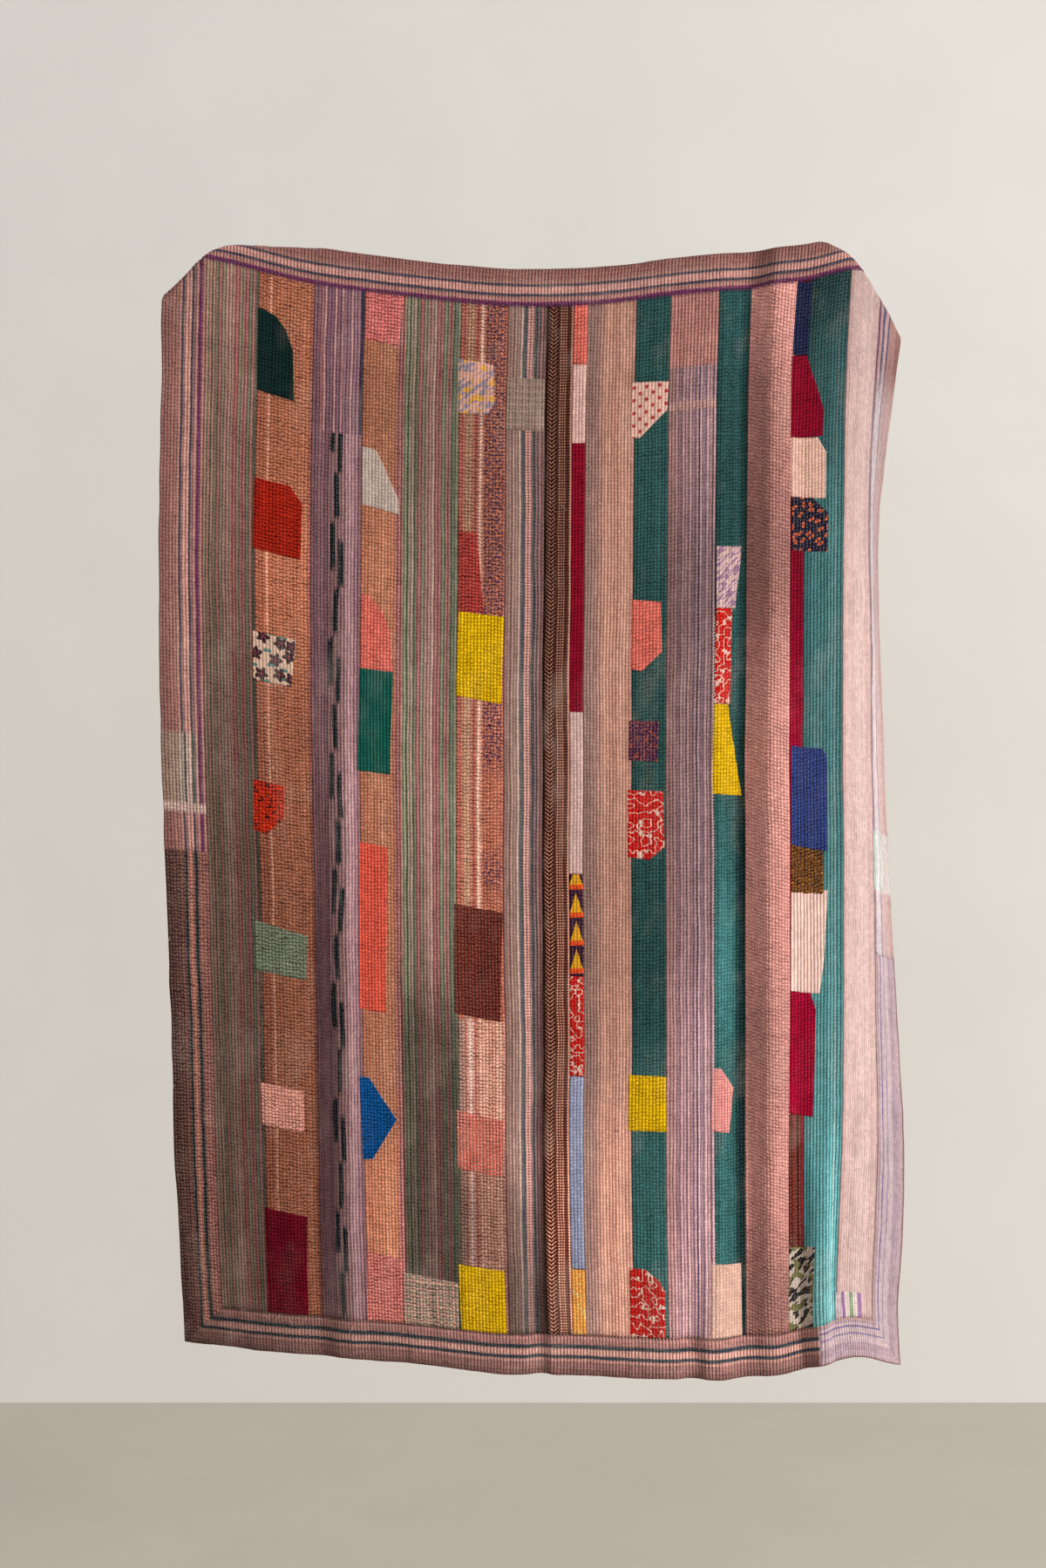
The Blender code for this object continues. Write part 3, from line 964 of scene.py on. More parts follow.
def stripes(width, table):
    """Stripes down the cloth. The table holds where each starts, in mm, and its colour."""

    def paint(tree, place):
        across, _ = wavering(tree, place)
        edges = [start * 0.001 for start, _ in table] + [width]
        stops = []
        for start, end, (_, color) in zip(edges, edges[1:], table):
            soft = min(STRIPE_SOFTNESS, (end - start) * 0.4)
            stops.append(((start + soft) / width, tint(*color)))
            stops.append(((end - soft) / width, tint(*color)))
        return ramp_of(tree, over(tree, across, width), stops)

    return paint


def changes(first, second, down, soft=JOIN_SOFTNESS):
    """One print above a place down the cloth, and another below it."""

    def paint(tree, place):
        below = between(tree, apart(tree, place)[1], down - soft, down + soft)
        upper = first(tree, place) if callable(first) else tint(*first)
        lower = second(tree, place) if callable(second) else tint(*second)
        return blend(tree, below, upper, lower)

    return paint


print("stripes are softened over", STRIPE_SOFTNESS, "m")

# %% The stripes of each cotton
# Each table lists where a stripe starts, in mm from the left edge, and its colour.
SAGE_STRIPES = (
    (0, (176, 140, 130)), (4, (132, 146, 120)), (8, (164, 126, 118)), (12, (88, 106, 88)),
    (15, (156, 132, 118)), (21, (98, 116, 96)), (25, (154, 112, 108)), (32, (134, 138, 118)),
    (38, (160, 132, 124)), (46, (164, 150, 136)), (52, (158, 110, 108)), (64, (124, 136, 112)),
    (70, (156, 106, 108)), (80, (108, 126, 104)), (86, (158, 120, 114)), (93, (60, 84, 74)),
)
SAGE_STRIPES_RIGHT = (
    (0, (180, 112, 110)), (4, (140, 150, 126)), (12, (88, 108, 88)), (16, (160, 150, 134)),
    (25, (98, 118, 98)), (30, (160, 112, 110)), (40, (128, 138, 118)), (46, (170, 136, 130)),
    (56, (182, 162, 152)), (62, (160, 112, 112)), (76, (122, 138, 114)), (84, (162, 114, 112)),
    (92, (98, 120, 100)), (99, (124, 136, 116)),
)
TERRACOTTA_STRIPES = (
    (0, (176, 108, 84)), (18, (182, 114, 88)), (20, (226, 164, 138)), (26, (190, 122, 94)),
    (40, (186, 118, 90)), (44, (206, 140, 110)), (47, (188, 120, 92)), (62, (204, 138, 108)),
    (65, (190, 122, 94)), (84, (206, 140, 112)), (87, (194, 126, 98)), (98, (170, 104, 92)),
)
TERRACOTTA_STRIPES_RIGHT = (
    (0, (204, 132, 98)), (18, (222, 154, 116)), (22, (212, 140, 104)), (40, (230, 166, 128)),
    (44, (216, 146, 108)), (60, (206, 134, 104)), (65, (168, 104, 102)), (70, (190, 134, 126)),
)
ROSE_STRIPES = (
    (0, (178, 102, 86)), (12, (184, 140, 112)), (28, (168, 92, 78)), (38, (232, 186, 162)),
    (46, (180, 108, 84)), (70, (190, 116, 92)), (82, (178, 106, 86)),
)
PEACH_STRIPES = (
    (0, (164, 132, 122)), (14, (182, 142, 132)), (26, (200, 154, 138)), (34, (222, 170, 148)),
    (48, (212, 158, 138)), (64, (226, 174, 152)), (80, (214, 162, 142)), (87, (196, 144, 130)),
)
ROSE_LOWER_STRIPES = (
    (0, (168, 134, 120)), (12, (184, 122, 106)), (18, (226, 188, 174)), (28, (186, 124, 108)),
    (38, (220, 166, 144)), (56, (210, 152, 128)), (70, (224, 172, 150)), (82, (196, 138, 122)),
)
MAUVE_STRIPES_UPPER = (
    (0, (124, 98, 116)), (12, (148, 112, 122)), (20, (196, 160, 164)), (23, (124, 100, 122)),
    (40, (190, 158, 164)), (43, (130, 104, 124)), (54, (196, 166, 170)), (57, (134, 110, 130)),
    (70, (186, 160, 170)), (74, (140, 116, 136)), (88, (48, 52, 80)),
)
MAUVE_STRIPES = (
    (0, (124, 98, 112)), (12, (136, 110, 124)), (26, (118, 94, 106)), (34, (138, 116, 124)),
    (42, (142, 120, 126)), (58, (156, 134, 144)), (66, (190, 168, 184)), (78, (166, 142, 160)),
    (86, (140, 114, 130)),
)
GREY_MAUVE_STRIPES = (
    (0, (144, 110, 106)), (5, (172, 142, 134)), (10, (146, 116, 112)), (15, (174, 148, 138)),
    (22, (150, 124, 118)), (25, (206, 180, 170)), (29, (136, 128, 130)), (33, (56, 78, 88)),
    (38, (226, 180, 172)), (51, (58, 76, 86)), (57, (140, 112, 114)), (60, (84, 84, 92)),
    (63, (150, 112, 112)), (68, (116, 88, 88)),
)
LAVENDER_STRIPES = (
    (0, (168, 138, 138)), (14, (184, 154, 156)), (22, (138, 116, 132)), (26, (188, 160, 164)),
    (36, (146, 124, 140)), (40, (192, 164, 166)), (48, (134, 114, 138)), (51, (188, 162, 168)),
    (57, (90, 82, 126)), (60, (212, 190, 190)), (66, (142, 122, 146)), (70, (200, 176, 180)),
    (80, (152, 126, 138)), (86, (206, 182, 188)),
)
TEAL_STRIPES = (
    (0, (46, 98, 94)), (10, (54, 112, 108)), (24, (48, 102, 98)), (38, (56, 114, 110)),
    (50, (48, 102, 98)),
)
# The same teal with a painted shadow over its right edge, where strip 13 turns into the fold beside strip 14.
TEAL_STRIPES_FOLD_SHADOW = (
    (0, (46, 98, 94)), (10, (54, 112, 108)), (24, (48, 102, 98)), (38, (40, 88, 84)),
    (46, (22, 56, 54)), (54, (12, 36, 36)),
)
TEAL_STRIPES_RIGHT = (
    (0, (54, 110, 106)), (14, (70, 132, 126)), (30, (66, 126, 120)), (46, (76, 138, 132)),
    (57, (116, 152, 142)), (59, (72, 134, 128)), (68, (58, 112, 108)),
)
PALE_PINK_STRIPES = (
    (0, (208, 164, 156)), (8, (222, 182, 174)), (40, (226, 188, 180)), (70, (220, 180, 172)),
    (88, (196, 152, 150)),
)
print("stripes of the sage cotton:", len(SAGE_STRIPES))

# %% [markdown]
# ## Prints
#
# The small pieces are block prints and machine prints: flowers, dots, checks and vines. None is
# traced. Each is a plain motif that repeats, drawn from a few nodes, with the colours and the size
# of the cloth it stands for. The flowers are a node group, because several cottons have them.


# %% Node group: scattered flowers
PETAL_SWING = 0.09
HEART_REACH = 0.13
LEAF_REACH = 0.15
LEAF_SWING = 0.11
INK_SOFTNESS = 0.03


def make_flower_group():
    group, given, result = new_group(
        "scattered_flowers",
        {"Place": None, "Petals": 5.0, "Reach": 0.34},
        {"Petal": float, "Heart": float, "Leaf": float},
    )

    def spot(offset):
        """A jittered spot: the distance from its centre, the angle round it, and a colour of its own."""
        shifted = node_of(group, "VectorMath", given["Place"], (offset, offset, 0.0)).outputs[0]
        cells = node_of(group, "TexVoronoi", shifted, voronoi_dimensions="2D")
        cells.inputs["Scale"].default_value = 1.0
        cells.inputs["Randomness"].default_value = 0.6
        arm = node_of(group, "VectorMath", shifted, cells.outputs["Position"], operation="SUBTRACT")
        x, y = apart(group, arm.outputs[0])
        return cells.outputs["Distance"], work_out(group, "ARCTAN2", y, x), cells.outputs["Color"]

    def lobed(radius, angle, lobes, swing, reach):
        """A mask of a shape whose edge swings out and in as it goes round."""
        swings = work_out(group, "COSINE", times(group, angle, lobes))
        inside = minus(group, scaled(group, swings, swing, reach), radius)
        return between(group, inside, -INK_SOFTNESS, INK_SOFTNESS)

    radius, angle, color = spot(0.0)
    turned = scaled(group, apart(group, color)[0], 6.0, angle)
    feed(group, lobed(radius, turned, given["Petals"], PETAL_SWING, given["Reach"]), result["Petal"])
    feed(group, between(group, radius, HEART_REACH, 0.08), result["Heart"])
    radius, angle, _ = spot(0.5)
    feed(group, lobed(radius, angle, 2.0, LEAF_SWING, LEAF_REACH), result["Leaf"])
    return group


FLOWERS = make_flower_group()
print("node group:", FLOWERS.name)

# %% Prints with motifs
BRUSH_SLANT = 0.8
WEDGE_CENTRE = 0.0125
WEDGE_HALF_WIDTH = 0.016


def flowers(ground, petal, heart, leaf, size, reach=0.34, petals=5.0):
    def paint(tree, place):
        masks = use_group(tree, FLOWERS, Place=repeats(tree, place, size), Petals=petals, Reach=reach)
        leafed = blend(tree, masks["Leaf"], tint(*ground), tint(*leaf))
        petalled = blend(tree, masks["Petal"], leafed, tint(*petal))
        return blend(tree, masks["Heart"], petalled, tint(*heart))

    return paint


def dots(ground, dot, pitch, size):
    """Staggered dots, at the crests of two crossed waves."""

    def paint(tree, place):
        turns = [times(tree, part, 2.0 * math.pi) for part in apart(tree, repeats(tree, place, 2.0 * pitch))]
        crests = times(tree, *(work_out(tree, "COSINE", turn) for turn in turns))
        share = size / pitch
        mask = between(tree, crests, 1.0 - 1.9 * share, 1.0 - 1.3 * share)
        return blend(tree, mask, tint(*ground), tint(*dot))

    return paint


def check(ground, line, pitch, share=0.3):
    """Thin upright and level lines."""

    def paint(tree, place):
        upright, level = [
            between(tree, wave(tree, part), 1.0 - share, 1.0)
            for part in apart(tree, repeats(tree, place, pitch))
        ]
        mask = times(tree, work_out(tree, "MAXIMUM", upright, level), 0.8)
        return blend(tree, mask, tint(*ground), tint(*line))

    return paint


def vines(ground, vine, size, accent=None, width=0.05):
    """Wandering lines, which are where a cloudy noise crosses its middle."""

    def paint(tree, place):
        cloud = noise(tree, repeats(tree, place, size), 1.0)
        line = between(tree, away_from(tree, cloud, 0.5), width, 0.4 * width)
        drawn = blend(tree, line, tint(*ground), tint(*vine))
        if accent is None:
            return drawn
        other = noise(tree, repeats(tree, place, size / 0.8), 1.0)
        return blend(tree, between(tree, other, 0.58, 0.64), drawn, tint(*accent))

    return paint


def specks(ground, speck, size, share=0.3):
    def paint(tree, place):
        cloud = noise(tree, stretched(tree, place, 1.0 / size, 0.6 / size), 2.0)
        mask = between(tree, cloud, 0.68 - 0.3 * share, 0.72 - 0.3 * share)
        return blend(tree, mask, tint(*ground), tint(*speck))

    return paint


def strokes(ground, stroke, wide, long, accent=None):
    """Slanting brush strokes, which are a noise drawn out along a diagonal."""

    def paint(tree, place):
        across, down = apart(tree, place)
        along = plus(tree, across, times(tree, down, -BRUSH_SLANT))
        side = plus(tree, times(tree, across, BRUSH_SLANT), down)
        cloud = noise(tree, together(tree, over(tree, along, long), over(tree, side, wide)), 1.0)
        drawn = blend(tree, between(tree, cloud, 0.50, 0.54), tint(*ground), tint(*stroke))
        if accent is None:
            return drawn
        other = noise(tree, repeats(tree, place, wide / 0.7), 0.0)
        return blend(tree, between(tree, other, 0.62, 0.66), drawn, tint(*accent))

    return paint


def wedges(ground, wedge, bar, pitch):
    """A wax print: rows of bright wedges between coloured bars."""

    def paint(tree, place):
        across, down = wavering(tree, place)
        part = work_out(tree, "FRACT", over(tree, down, pitch))
        half_width = scaled(tree, part, WEDGE_HALF_WIDTH, -0.002)
        inside = minus(tree, half_width, away_from(tree, across, WEDGE_CENTRE))
        drawn = blend(tree, between(tree, inside, -0.0008, 0.0008), tint(*ground), tint(*wedge))
        return blend(tree, between(tree, part, 0.80, 0.84), drawn, tint(*bar))

    return paint


print("motifs ready")

# %% Prints that follow the strip
DASH_PERIOD = 0.2134
DASH_LENGTH = 0.092
DASH_HALF_WIDTH = 0.0054
# Each dash of the repeat: how far into the repeat it starts, and how far across it lies.
DASHES = ((0.142, 0.0475), (0.021, 0.0395), (0.055, 0.0540))
YARN_SLIP = 0.030
DASH_SWAY = 0.022


def ikat_dashes(under, dash, upper, joins_at):
    """Stripes with black dashes, whose ends are feathered where the dyed yarns slipped."""

    def paint(tree, place):
        across, down = apart(tree, place)
        slipped = scaled(tree, noise(tree, stretched(tree, place, 700.0, 5.0), 1.0), YARN_SLIP, down)
        sway = minus(tree, noise(tree, together(tree, 0.0, times(tree, down, 3.4))), 0.5)
        swaying = scaled(tree, sway, DASH_SWAY, across)
        mask = 0.0
        for start, centre in DASHES:
            turn = over(tree, minus(tree, slipped, start), DASH_PERIOD)
            along = times(tree, work_out(tree, "FRACT", turn), DASH_PERIOD)
            from_middle = away_from(tree, along, DASH_LENGTH / 2.0)
            within = between(tree, from_middle, DASH_LENGTH / 2.0, DASH_LENGTH / 2.0 - 0.007)
            aside = away_from(tree, swaying, centre)
            near = between(tree, aside, DASH_HALF_WIDTH, DASH_HALF_WIDTH - 0.0014)
            mask = work_out(tree, "MAXIMUM", mask, times(tree, within, near))
        dashed = blend(tree, mask, under(tree, place), tint(*dash))
        below = between(tree, down, joins_at - 0.003, joins_at + 0.003)
        return blend(tree, below, upper(tree, place), dashed)

    return paint


def flecked(under, fleck, low, high, spans):
    """Dark flecks between two places across, in each span down the cloth."""

    def paint(tree, place):
        across, down = apart(tree, place)
        cloud = noise(tree, stretched(tree, place, 170.0, 200.0), 2.0)
        within = 0.0
        for start, end in spans:
            within = work_out(tree, "MAXIMUM", within, band(tree, down, start, end, 0.06))
        inside = times(tree, band(tree, across, low, high, 0.003), within)
        mask = times(tree, inside, between(tree, cloud, 0.50, 0.56))
        return blend(tree, mask, under(tree, place), tint(*fleck))

    return paint


def laddered(under, rung, low, high, pitch):
    """Level rungs between two places across the cloth."""

    def paint(tree, place):
        across, down = wavering(tree, place)
        rungs = between(tree, wave(tree, over(tree, down, pitch)), 0.45, 0.75)
        mask = times(tree, band(tree, across, low, high, 0.001), rungs)
        return blend(tree, times(tree, mask, 0.75), under(tree, place), tint(*rung))

    return paint


TWIG_PITCH = 0.0074
TWIG_CENTRE = 0.0135
TWIG_HALF_WIDTH = 0.0090
LEAF_SWEEP = 0.9
TWIG_EDGE = 0.0235
CHAIN_START = 0.0250
CHAIN_END = 0.0405
CHAIN_PITCH = 0.0052
SCALLOP_EDGE = 0.0475
SCALLOP_DEPTH = 0.003


def twigs(tree, place):
    """A twig of slanting leaves, a chain of pale beads beside it, and a scalloped edge."""
    across, down = wavering(tree, place)
    side = away_from(tree, across, TWIG_CENTRE)
    leaf = wave(tree, over(tree, scaled(tree, side, LEAF_SWEEP, down), TWIG_PITCH))
    rough = scaled(tree, noise(tree, stretched(tree, place, 420.0, 300.0), 2.0), 0.9, leaf)
    on_twig = between(tree, side, TWIG_HALF_WIDTH, TWIG_HALF_WIDTH - 0.0016)
    leaves = times(tree, between(tree, rough, 1.12, 1.40), on_twig)
    past_twig = between(tree, across, TWIG_EDGE - 0.001, TWIG_EDGE + 0.001)
    ground = blend(tree, past_twig, tint(44, 20, 16), tint(76, 36, 30))
    drawn = blend(tree, leaves, ground, tint(206, 148, 126))

    first_bead = minus(tree, across, CHAIN_START + CHAIN_PITCH / 2.0)
    bead_across = wave(tree, over(tree, first_bead, CHAIN_PITCH))
    bead_down = wave(tree, over(tree, down, CHAIN_PITCH))
    bead = between(tree, times(tree, bead_across, bead_down), 0.20, 0.42)
    beads = times(tree, band(tree, across, CHAIN_START, CHAIN_END, 0.001), bead)
    drawn = blend(tree, beads, drawn, tint(222, 172, 150))

    edge = scaled(tree, bead_down, SCALLOP_DEPTH, across)
    scallop = between(tree, edge, SCALLOP_EDGE, SCALLOP_EDGE + 0.0015)
    return blend(tree, scallop, drawn, tint(216, 170, 152))


print("dashes in each repeat of the ikat:", len(DASHES))

# %% [markdown]
# ## The cottons of the long strips
#
# One cotton for each strip, from its stripes or print, with the sewing that shows on it. Terracotta
# strips show level furrows most, the teal ones an even waffle, and the mauve pink one slanting ripples.
# Each also has a tint and a few tones down its length, multiplied into the print. The tones are
# painted light and shade of the folds.


# %% Tints and painted fold light and shade of the strips
# For each strip, a tint of its colour, and then how light it is at places down its length (down in m,
# tone). These tones are painted light and shade of the folds.
STRIP_TINT_AND_PAINTED_SHADE = {
    1: ((1.25, 1.0, 0.95), (0.0, 0.95), (0.36, 0.80), (0.80, 0.50), (1.10, 0.42), (1.93, 0.46)),
    2: ((1.15, 1.0, 0.90), (0.30, 0.84), (0.52, 1.10), (0.85, 0.70), (1.25, 0.55), (1.93, 0.60)),
    3: ((1.30, 1.0, 0.85), (0.0, 0.86), (0.60, 0.75), (1.0, 0.92), (1.30, 0.73)),
    4: ((1.05, 1.0, 1.05), (0.0, 0.78), (0.22, 0.68), (0.52, 0.92), (1.44, 0.85), (1.72, 1.26)),
    5: ((1.15, 1.0, 0.95), (0.0, 0.83), (0.22, 0.72), (0.60, 0.92), (1.05, 1.15), (1.20, 1.05), (1.40, 0.38)),
    6: ((1.05, 1.0, 1.0), (0.0, 0.97), (0.40, 0.92), (0.80, 1.28), (1.50, 1.33), (1.72, 0.68)),
    7: ((1.10, 1.0, 0.95), (0.0, 0.75), (0.45, 0.87), (1.45, 0.97), (1.60, 1.17), (1.74, 0.74), (1.85, 0.42)),
    8: ((1.15, 1.0, 0.90), (0.50, 0.53), (0.90, 0.77), (1.45, 0.97), (1.72, 1.77), (1.93, 1.40)),
    10: ((1.05, 1.0, 1.0), (0.0, 0.72), (0.60, 0.84), (1.20, 0.73), (1.42, 0.86), (1.62, 1.27), (1.93, 1.33)),
    11: (
        (1.25, 1.0, 1.05),
        (0.0, 0.62), (0.36, 0.73), (0.55, 0.58), (1.30, 0.54), (1.55, 1.12), (1.93, 1.36),
    ),
    12: (
        (1.20, 1.0, 1.0),
        (0.0, 0.67), (0.26, 0.77), (0.52, 0.48), (0.85, 0.61), (1.15, 0.70), (1.42, 1.12), (1.93, 1.42),
    ),
    13: (
        (1.15, 1.0, 1.10),
        (0.0, 0.63), (0.36, 0.50), (0.80, 0.68), (1.0, 1.0), (1.25, 1.90), (1.45, 1.23), (1.93, 1.33),
    ),
    14: (
        (1.15, 1.0, 1.0),
        (0.0, 1.30), (0.24, 0.85), (0.52, 0.60), (0.83, 1.25), (1.15, 1.22), (1.40, 0.98), (1.65, 1.15),
        (1.88, 0.62),
    ),
    15: ((1.25, 1.0, 1.10), (0.0, 0.28), (0.30, 0.35), (0.55, 0.66), (0.80, 1.07), (1.93, 1.30)),
    16: (
        (1.20, 1.0, 1.15),
        (0.0, 0.19), (0.20, 0.53), (0.52, 1.02), (0.90, 1.06), (1.44, 1.65), (1.72, 2.35), (1.93, 2.60),
    ),
    17: ((0.90, 1.0, 1.05), (0.0, 0.62), (0.30, 0.74), (0.83, 0.87), (1.50, 0.90), (1.93, 0.84)),
}
print("strips with an aged tone:", len(STRIP_TINT_AND_PAINTED_SHADE))


# %% Prints of the long cottons
def striped(k, table):
    """Stripes over the whole width of a strip."""
    return stripes(STRIPS[k - 1][1], table)


IKAT = ikat_dashes(striped(3, MAUVE_STRIPES), (16, 36, 42), striped(3, MAUVE_STRIPES_UPPER), 0.270)
ROSE_FLECK_SPANS = ((-0.05, 0.90), (1.00, 1.12))
ROSE_LENGTHS = changes(striped(6, ROSE_STRIPES), striped(6, ROSE_LOWER_STRIPES), 1.34)
ROSE = flecked(ROSE_LENGTHS, (92, 58, 84), 0.046, 0.086, ROSE_FLECK_SPANS)
LADDER = laddered(striped(7, GREY_MAUVE_STRIPES), (150, 96, 100), 0.0380, 0.0510, 0.0053)
LAVENDER_JOINS = (0.136, 0.200, 0.216)
LAVENDER_TOP = changes((204, 152, 142), striped(12, LAVENDER_STRIPES), LAVENDER_JOINS[0])
LAVENDER_BAND = changes(LAVENDER_TOP, (202, 168, 160), LAVENDER_JOINS[1])
LAVENDER = changes(LAVENDER_BAND, striped(12, LAVENDER_STRIPES), LAVENDER_JOINS[2])
# Below 0.85 m, strip 13 gets the teal with the painted shadow at its right edge.
TEAL_WITH_FOLD_SHADOW = changes(striped(13, TEAL_STRIPES), striped(13, TEAL_STRIPES_FOLD_SHADOW), 0.85, 0.25)
print("lavender lengths join at", LAVENDER_JOINS)

# %% Long cottons
CRIMSON_THREAD = (176, 40, 70)
TEAL_THREAD = (110, 160, 146)
# One row for each strip: its number, its cotton, its print, its sewing, and what else is its own.
LONG_COTTONS = (
    (1, "sage_striped_cotton", striped(1, SAGE_STRIPES), "ribs", {"levels": 0.42, "streaks": 1.0}),
    (2, "terracotta_cotton", striped(2, TERRACOTTA_STRIPES), "levels", {"streaks": 0.7}),
    (3, "mauve_ikat_cotton", IKAT, "ribs", {"levels": 0.45, "streaks": 1.0, "thread": (196, 176, 196)}),
    (4, "light_terracotta_cotton", striped(4, TERRACOTTA_STRIPES_RIGHT), "waffle", {"streaks": 0.6}),
    (5, "grey_green_cotton", striped(5, SAGE_STRIPES_RIGHT), "ribs", {"levels": 0.42, "streaks": 1.0}),
    (6, "rose_cotton", ROSE, "levels", {"streaks": 0.6}),
    (7, "grey_mauve_cotton", LADDER, "soft", {"rows": 0.8, "streaks": 0.8}),
    (8, "brown_twig_cotton", twigs, "soft", {"contrast": 0.4, "thread": (150, 110, 90)}),
    (9, "crimson_cotton", (144, 7, 40), "waffle", {"thread": CRIMSON_THREAD, "fading": 0.1}),
    (10, "peach_cotton", striped(10, PEACH_STRIPES), "soft", {"rows": 0.75, "levels": 0.45, "streaks": 0.9}),
    (11, "teal_cotton", striped(11, TEAL_STRIPES), "waffle", {"thread": TEAL_THREAD, "fading": 0.3}),
    (12, "lavender_striped_cotton", LAVENDER, "ribs", {"levels": 0.5, "streaks": 0.8}),
    (13, "teal_cotton_fold_shadow", TEAL_WITH_FOLD_SHADOW, "waffle", {"thread": TEAL_THREAD, "fading": 0.3}),
    (14, "mauve_pink_cotton", (210, 158, 148), "ripples", {"streaks": 0.5, "thread": (226, 184, 170)}),
    (15, "deep_crimson_cotton", (146, 8, 46), "waffle", {"thread": CRIMSON_THREAD, "fading": 0.1}),
    (
        16, "bright_teal_cotton", striped(16, TEAL_STRIPES_RIGHT), "ribs",
        {"levels": 0.4, "thread": (150, 190, 176), "fading": 0.3},
    ),
    (17, "pale_pink_cotton", striped(17, PALE_PINK_STRIPES), "soft", {"contrast": 0.32, "fading": 0.3}),
)
LONG_CLOTHS = {
    k: cloth(name, paint, sewing, tint_and_painted_shade=STRIP_TINT_AND_PAINTED_SHADE.get(k), **settings)
    for k, name, paint, sewing, settings in LONG_COTTONS
}
BACKING = cloth("plain_backing_cotton", (206, 170, 158), "ribs", thread=(150, 60, 70), streaks=0.3)
print("long cottons:", len(LONG_CLOTHS))

# %% [markdown]
# ## The cottons of the border
#
# The border is cut from the woven edge of a sari. Its stripes run along it, so the table gives how
# far out from the inner seam each starts. Darker and paler lengths are joined in where one ran out.

# %% The stripes of the border
TOP_STRIPES = (
    (0, (122, 46, 104)), (6, (200, 142, 134)), (15, (84, 78, 96)), (21, (228, 168, 158)),
    (34, (84, 80, 98)), (39, (184, 134, 126)), (46, (170, 116, 108)), (58, (160, 108, 102)),
)
LEFT_STRIPES = (
    (0, (190, 134, 128)), (6, (112, 44, 96)), (11, (196, 140, 134)), (20, (92, 86, 98)),
    (25, (226, 166, 154)), (38, (90, 84, 94)), (43, (196, 142, 132)), (50, (176, 122, 112)),
    (60, (160, 108, 102)),
)
LEFT_PLAID_STRIPES = (
    (0, (186, 140, 134)), (6, (120, 62, 100)), (12, (200, 158, 146)), (19, (76, 96, 90)),
    (24, (224, 190, 178)), (34, (78, 98, 92)), (39, (196, 176, 160)), (48, (176, 150, 132)),
    (64, (164, 134, 118)),
)
LEFT_DARK_STRIPES = (
    (0, (168, 112, 112)), (6, (182, 128, 122)), (19, (50, 62, 68)), (27, (212, 148, 138)),
    (38, (52, 64, 70)), (45, (142, 98, 92)), (52, (112, 78, 76)), (66, (98, 68, 66)),
)
HEM_STRIPES = (
    (0, (196, 134, 128)), (9, (182, 124, 120)), (18, (60, 66, 76)), (26, (224, 160, 150)),
    (38, (62, 66, 78)), (45, (214, 150, 140)), (50, (164, 112, 108)), (64, (140, 94, 92)),
)
RIGHT_TOP_STRIPES = (
    (0, (136, 82, 110)), (3, (208, 158, 148)), (13, (94, 90, 118)), (20, (220, 172, 162)),
    (30, (98, 92, 116)), (35, (186, 132, 122)), (60, (164, 112, 102)),
)
RIGHT_STRIPES = (
    (0, (198, 156, 150)), (3, (104, 98, 130)), (6, (228, 202, 194)), (27, (110, 104, 136)),
    (31, (216, 176, 166)), (60, (206, 162, 152)),
)
LAVENDER_EDGE_STRIPES = (
    (0, (206, 170, 168)), (5, (170, 150, 170)), (8, (212, 186, 190)), (14, (118, 106, 158)),
    (17, (208, 184, 190)), (28, (140, 128, 168)), (31, (210, 186, 192)), (46, (186, 160, 174)),
    (62, (196, 170, 180)), (74, (156, 116, 120)),
)
GREENISH_EDGE_STRIPES = (
    (0, (206, 204, 190)), (4, (168, 186, 172)), (8, (236, 224, 212)), (26, (172, 188, 174)),
    (31, (224, 204, 190)),
)
print("stripes of the top border:", len(TOP_STRIPES))


# %% Border cottons
def edge(table):
    """Stripes along a side of the border, counted from its inner seam."""
    return stripes(SIDE_BORDER, table)


LEFT_PLAID = changes(edge(LEFT_STRIPES), edge(LEFT_PLAID_STRIPES), 0.862)
LEFT_BAND = changes(LEFT_PLAID, (222, 190, 176), 0.990)
LEFT_UPPER = changes(LEFT_BAND, edge(LEFT_STRIPES), 1.006)
RIGHT_CORNER = changes(edge(RIGHT_TOP_STRIPES), edge(RIGHT_STRIPES), 0.200, 0.040)
RIGHT_GREENISH = changes(RIGHT_CORNER, edge(GREENISH_EDGE_STRIPES), 1.020)
RIGHT_UPPER = changes(RIGHT_GREENISH, edge(RIGHT_STRIPES), 1.130)
TOP = stripes(TOP_BORDER, TOP_STRIPES)
HEM = stripes(HEM_BORDER, HEM_STRIPES)
LAVENDER_HEM = stripes(HEM_BORDER, LAVENDER_EDGE_STRIPES)
UNTINTED = (1.0, 1.0, 1.0)
# A tint for each length, and how light it is along it, as for the strips: where the tone changes, it is
# painted light and shade of the folds. On the top and the hem, the place is counted across.
EDGE_TINT_AND_PAINTED_SHADE = {
    "top": (UNTINTED, (0.0, 0.82), (1.93, 0.82)),
    "left_upper": (UNTINTED, (0.0, 0.74), (0.25, 0.93), (1.2, 0.91)),
    "left_lower": ((1.10, 1.0, 0.90), (0.0, 0.73), (1.93, 0.73)),
    "bottom": (
        (0.88, 1.0, 0.97),
        (0.0, 0.51), (0.20, 0.69), (0.42, 0.93), (0.85, 1.28), (1.05, 1.35), (1.24, 1.18),
    ),
    "bottom_right": (UNTINTED, (0.0, 0.85), (1.93, 0.85)),
    "right_upper": ((0.88, 1.0, 1.13), (0.0, 0.61), (0.5, 0.66), (0.9, 0.85), (1.93, 0.81)),
    "right_lower": ((0.97, 1.0, 1.0), (0.0, 0.82), (1.93, 0.76)),
}
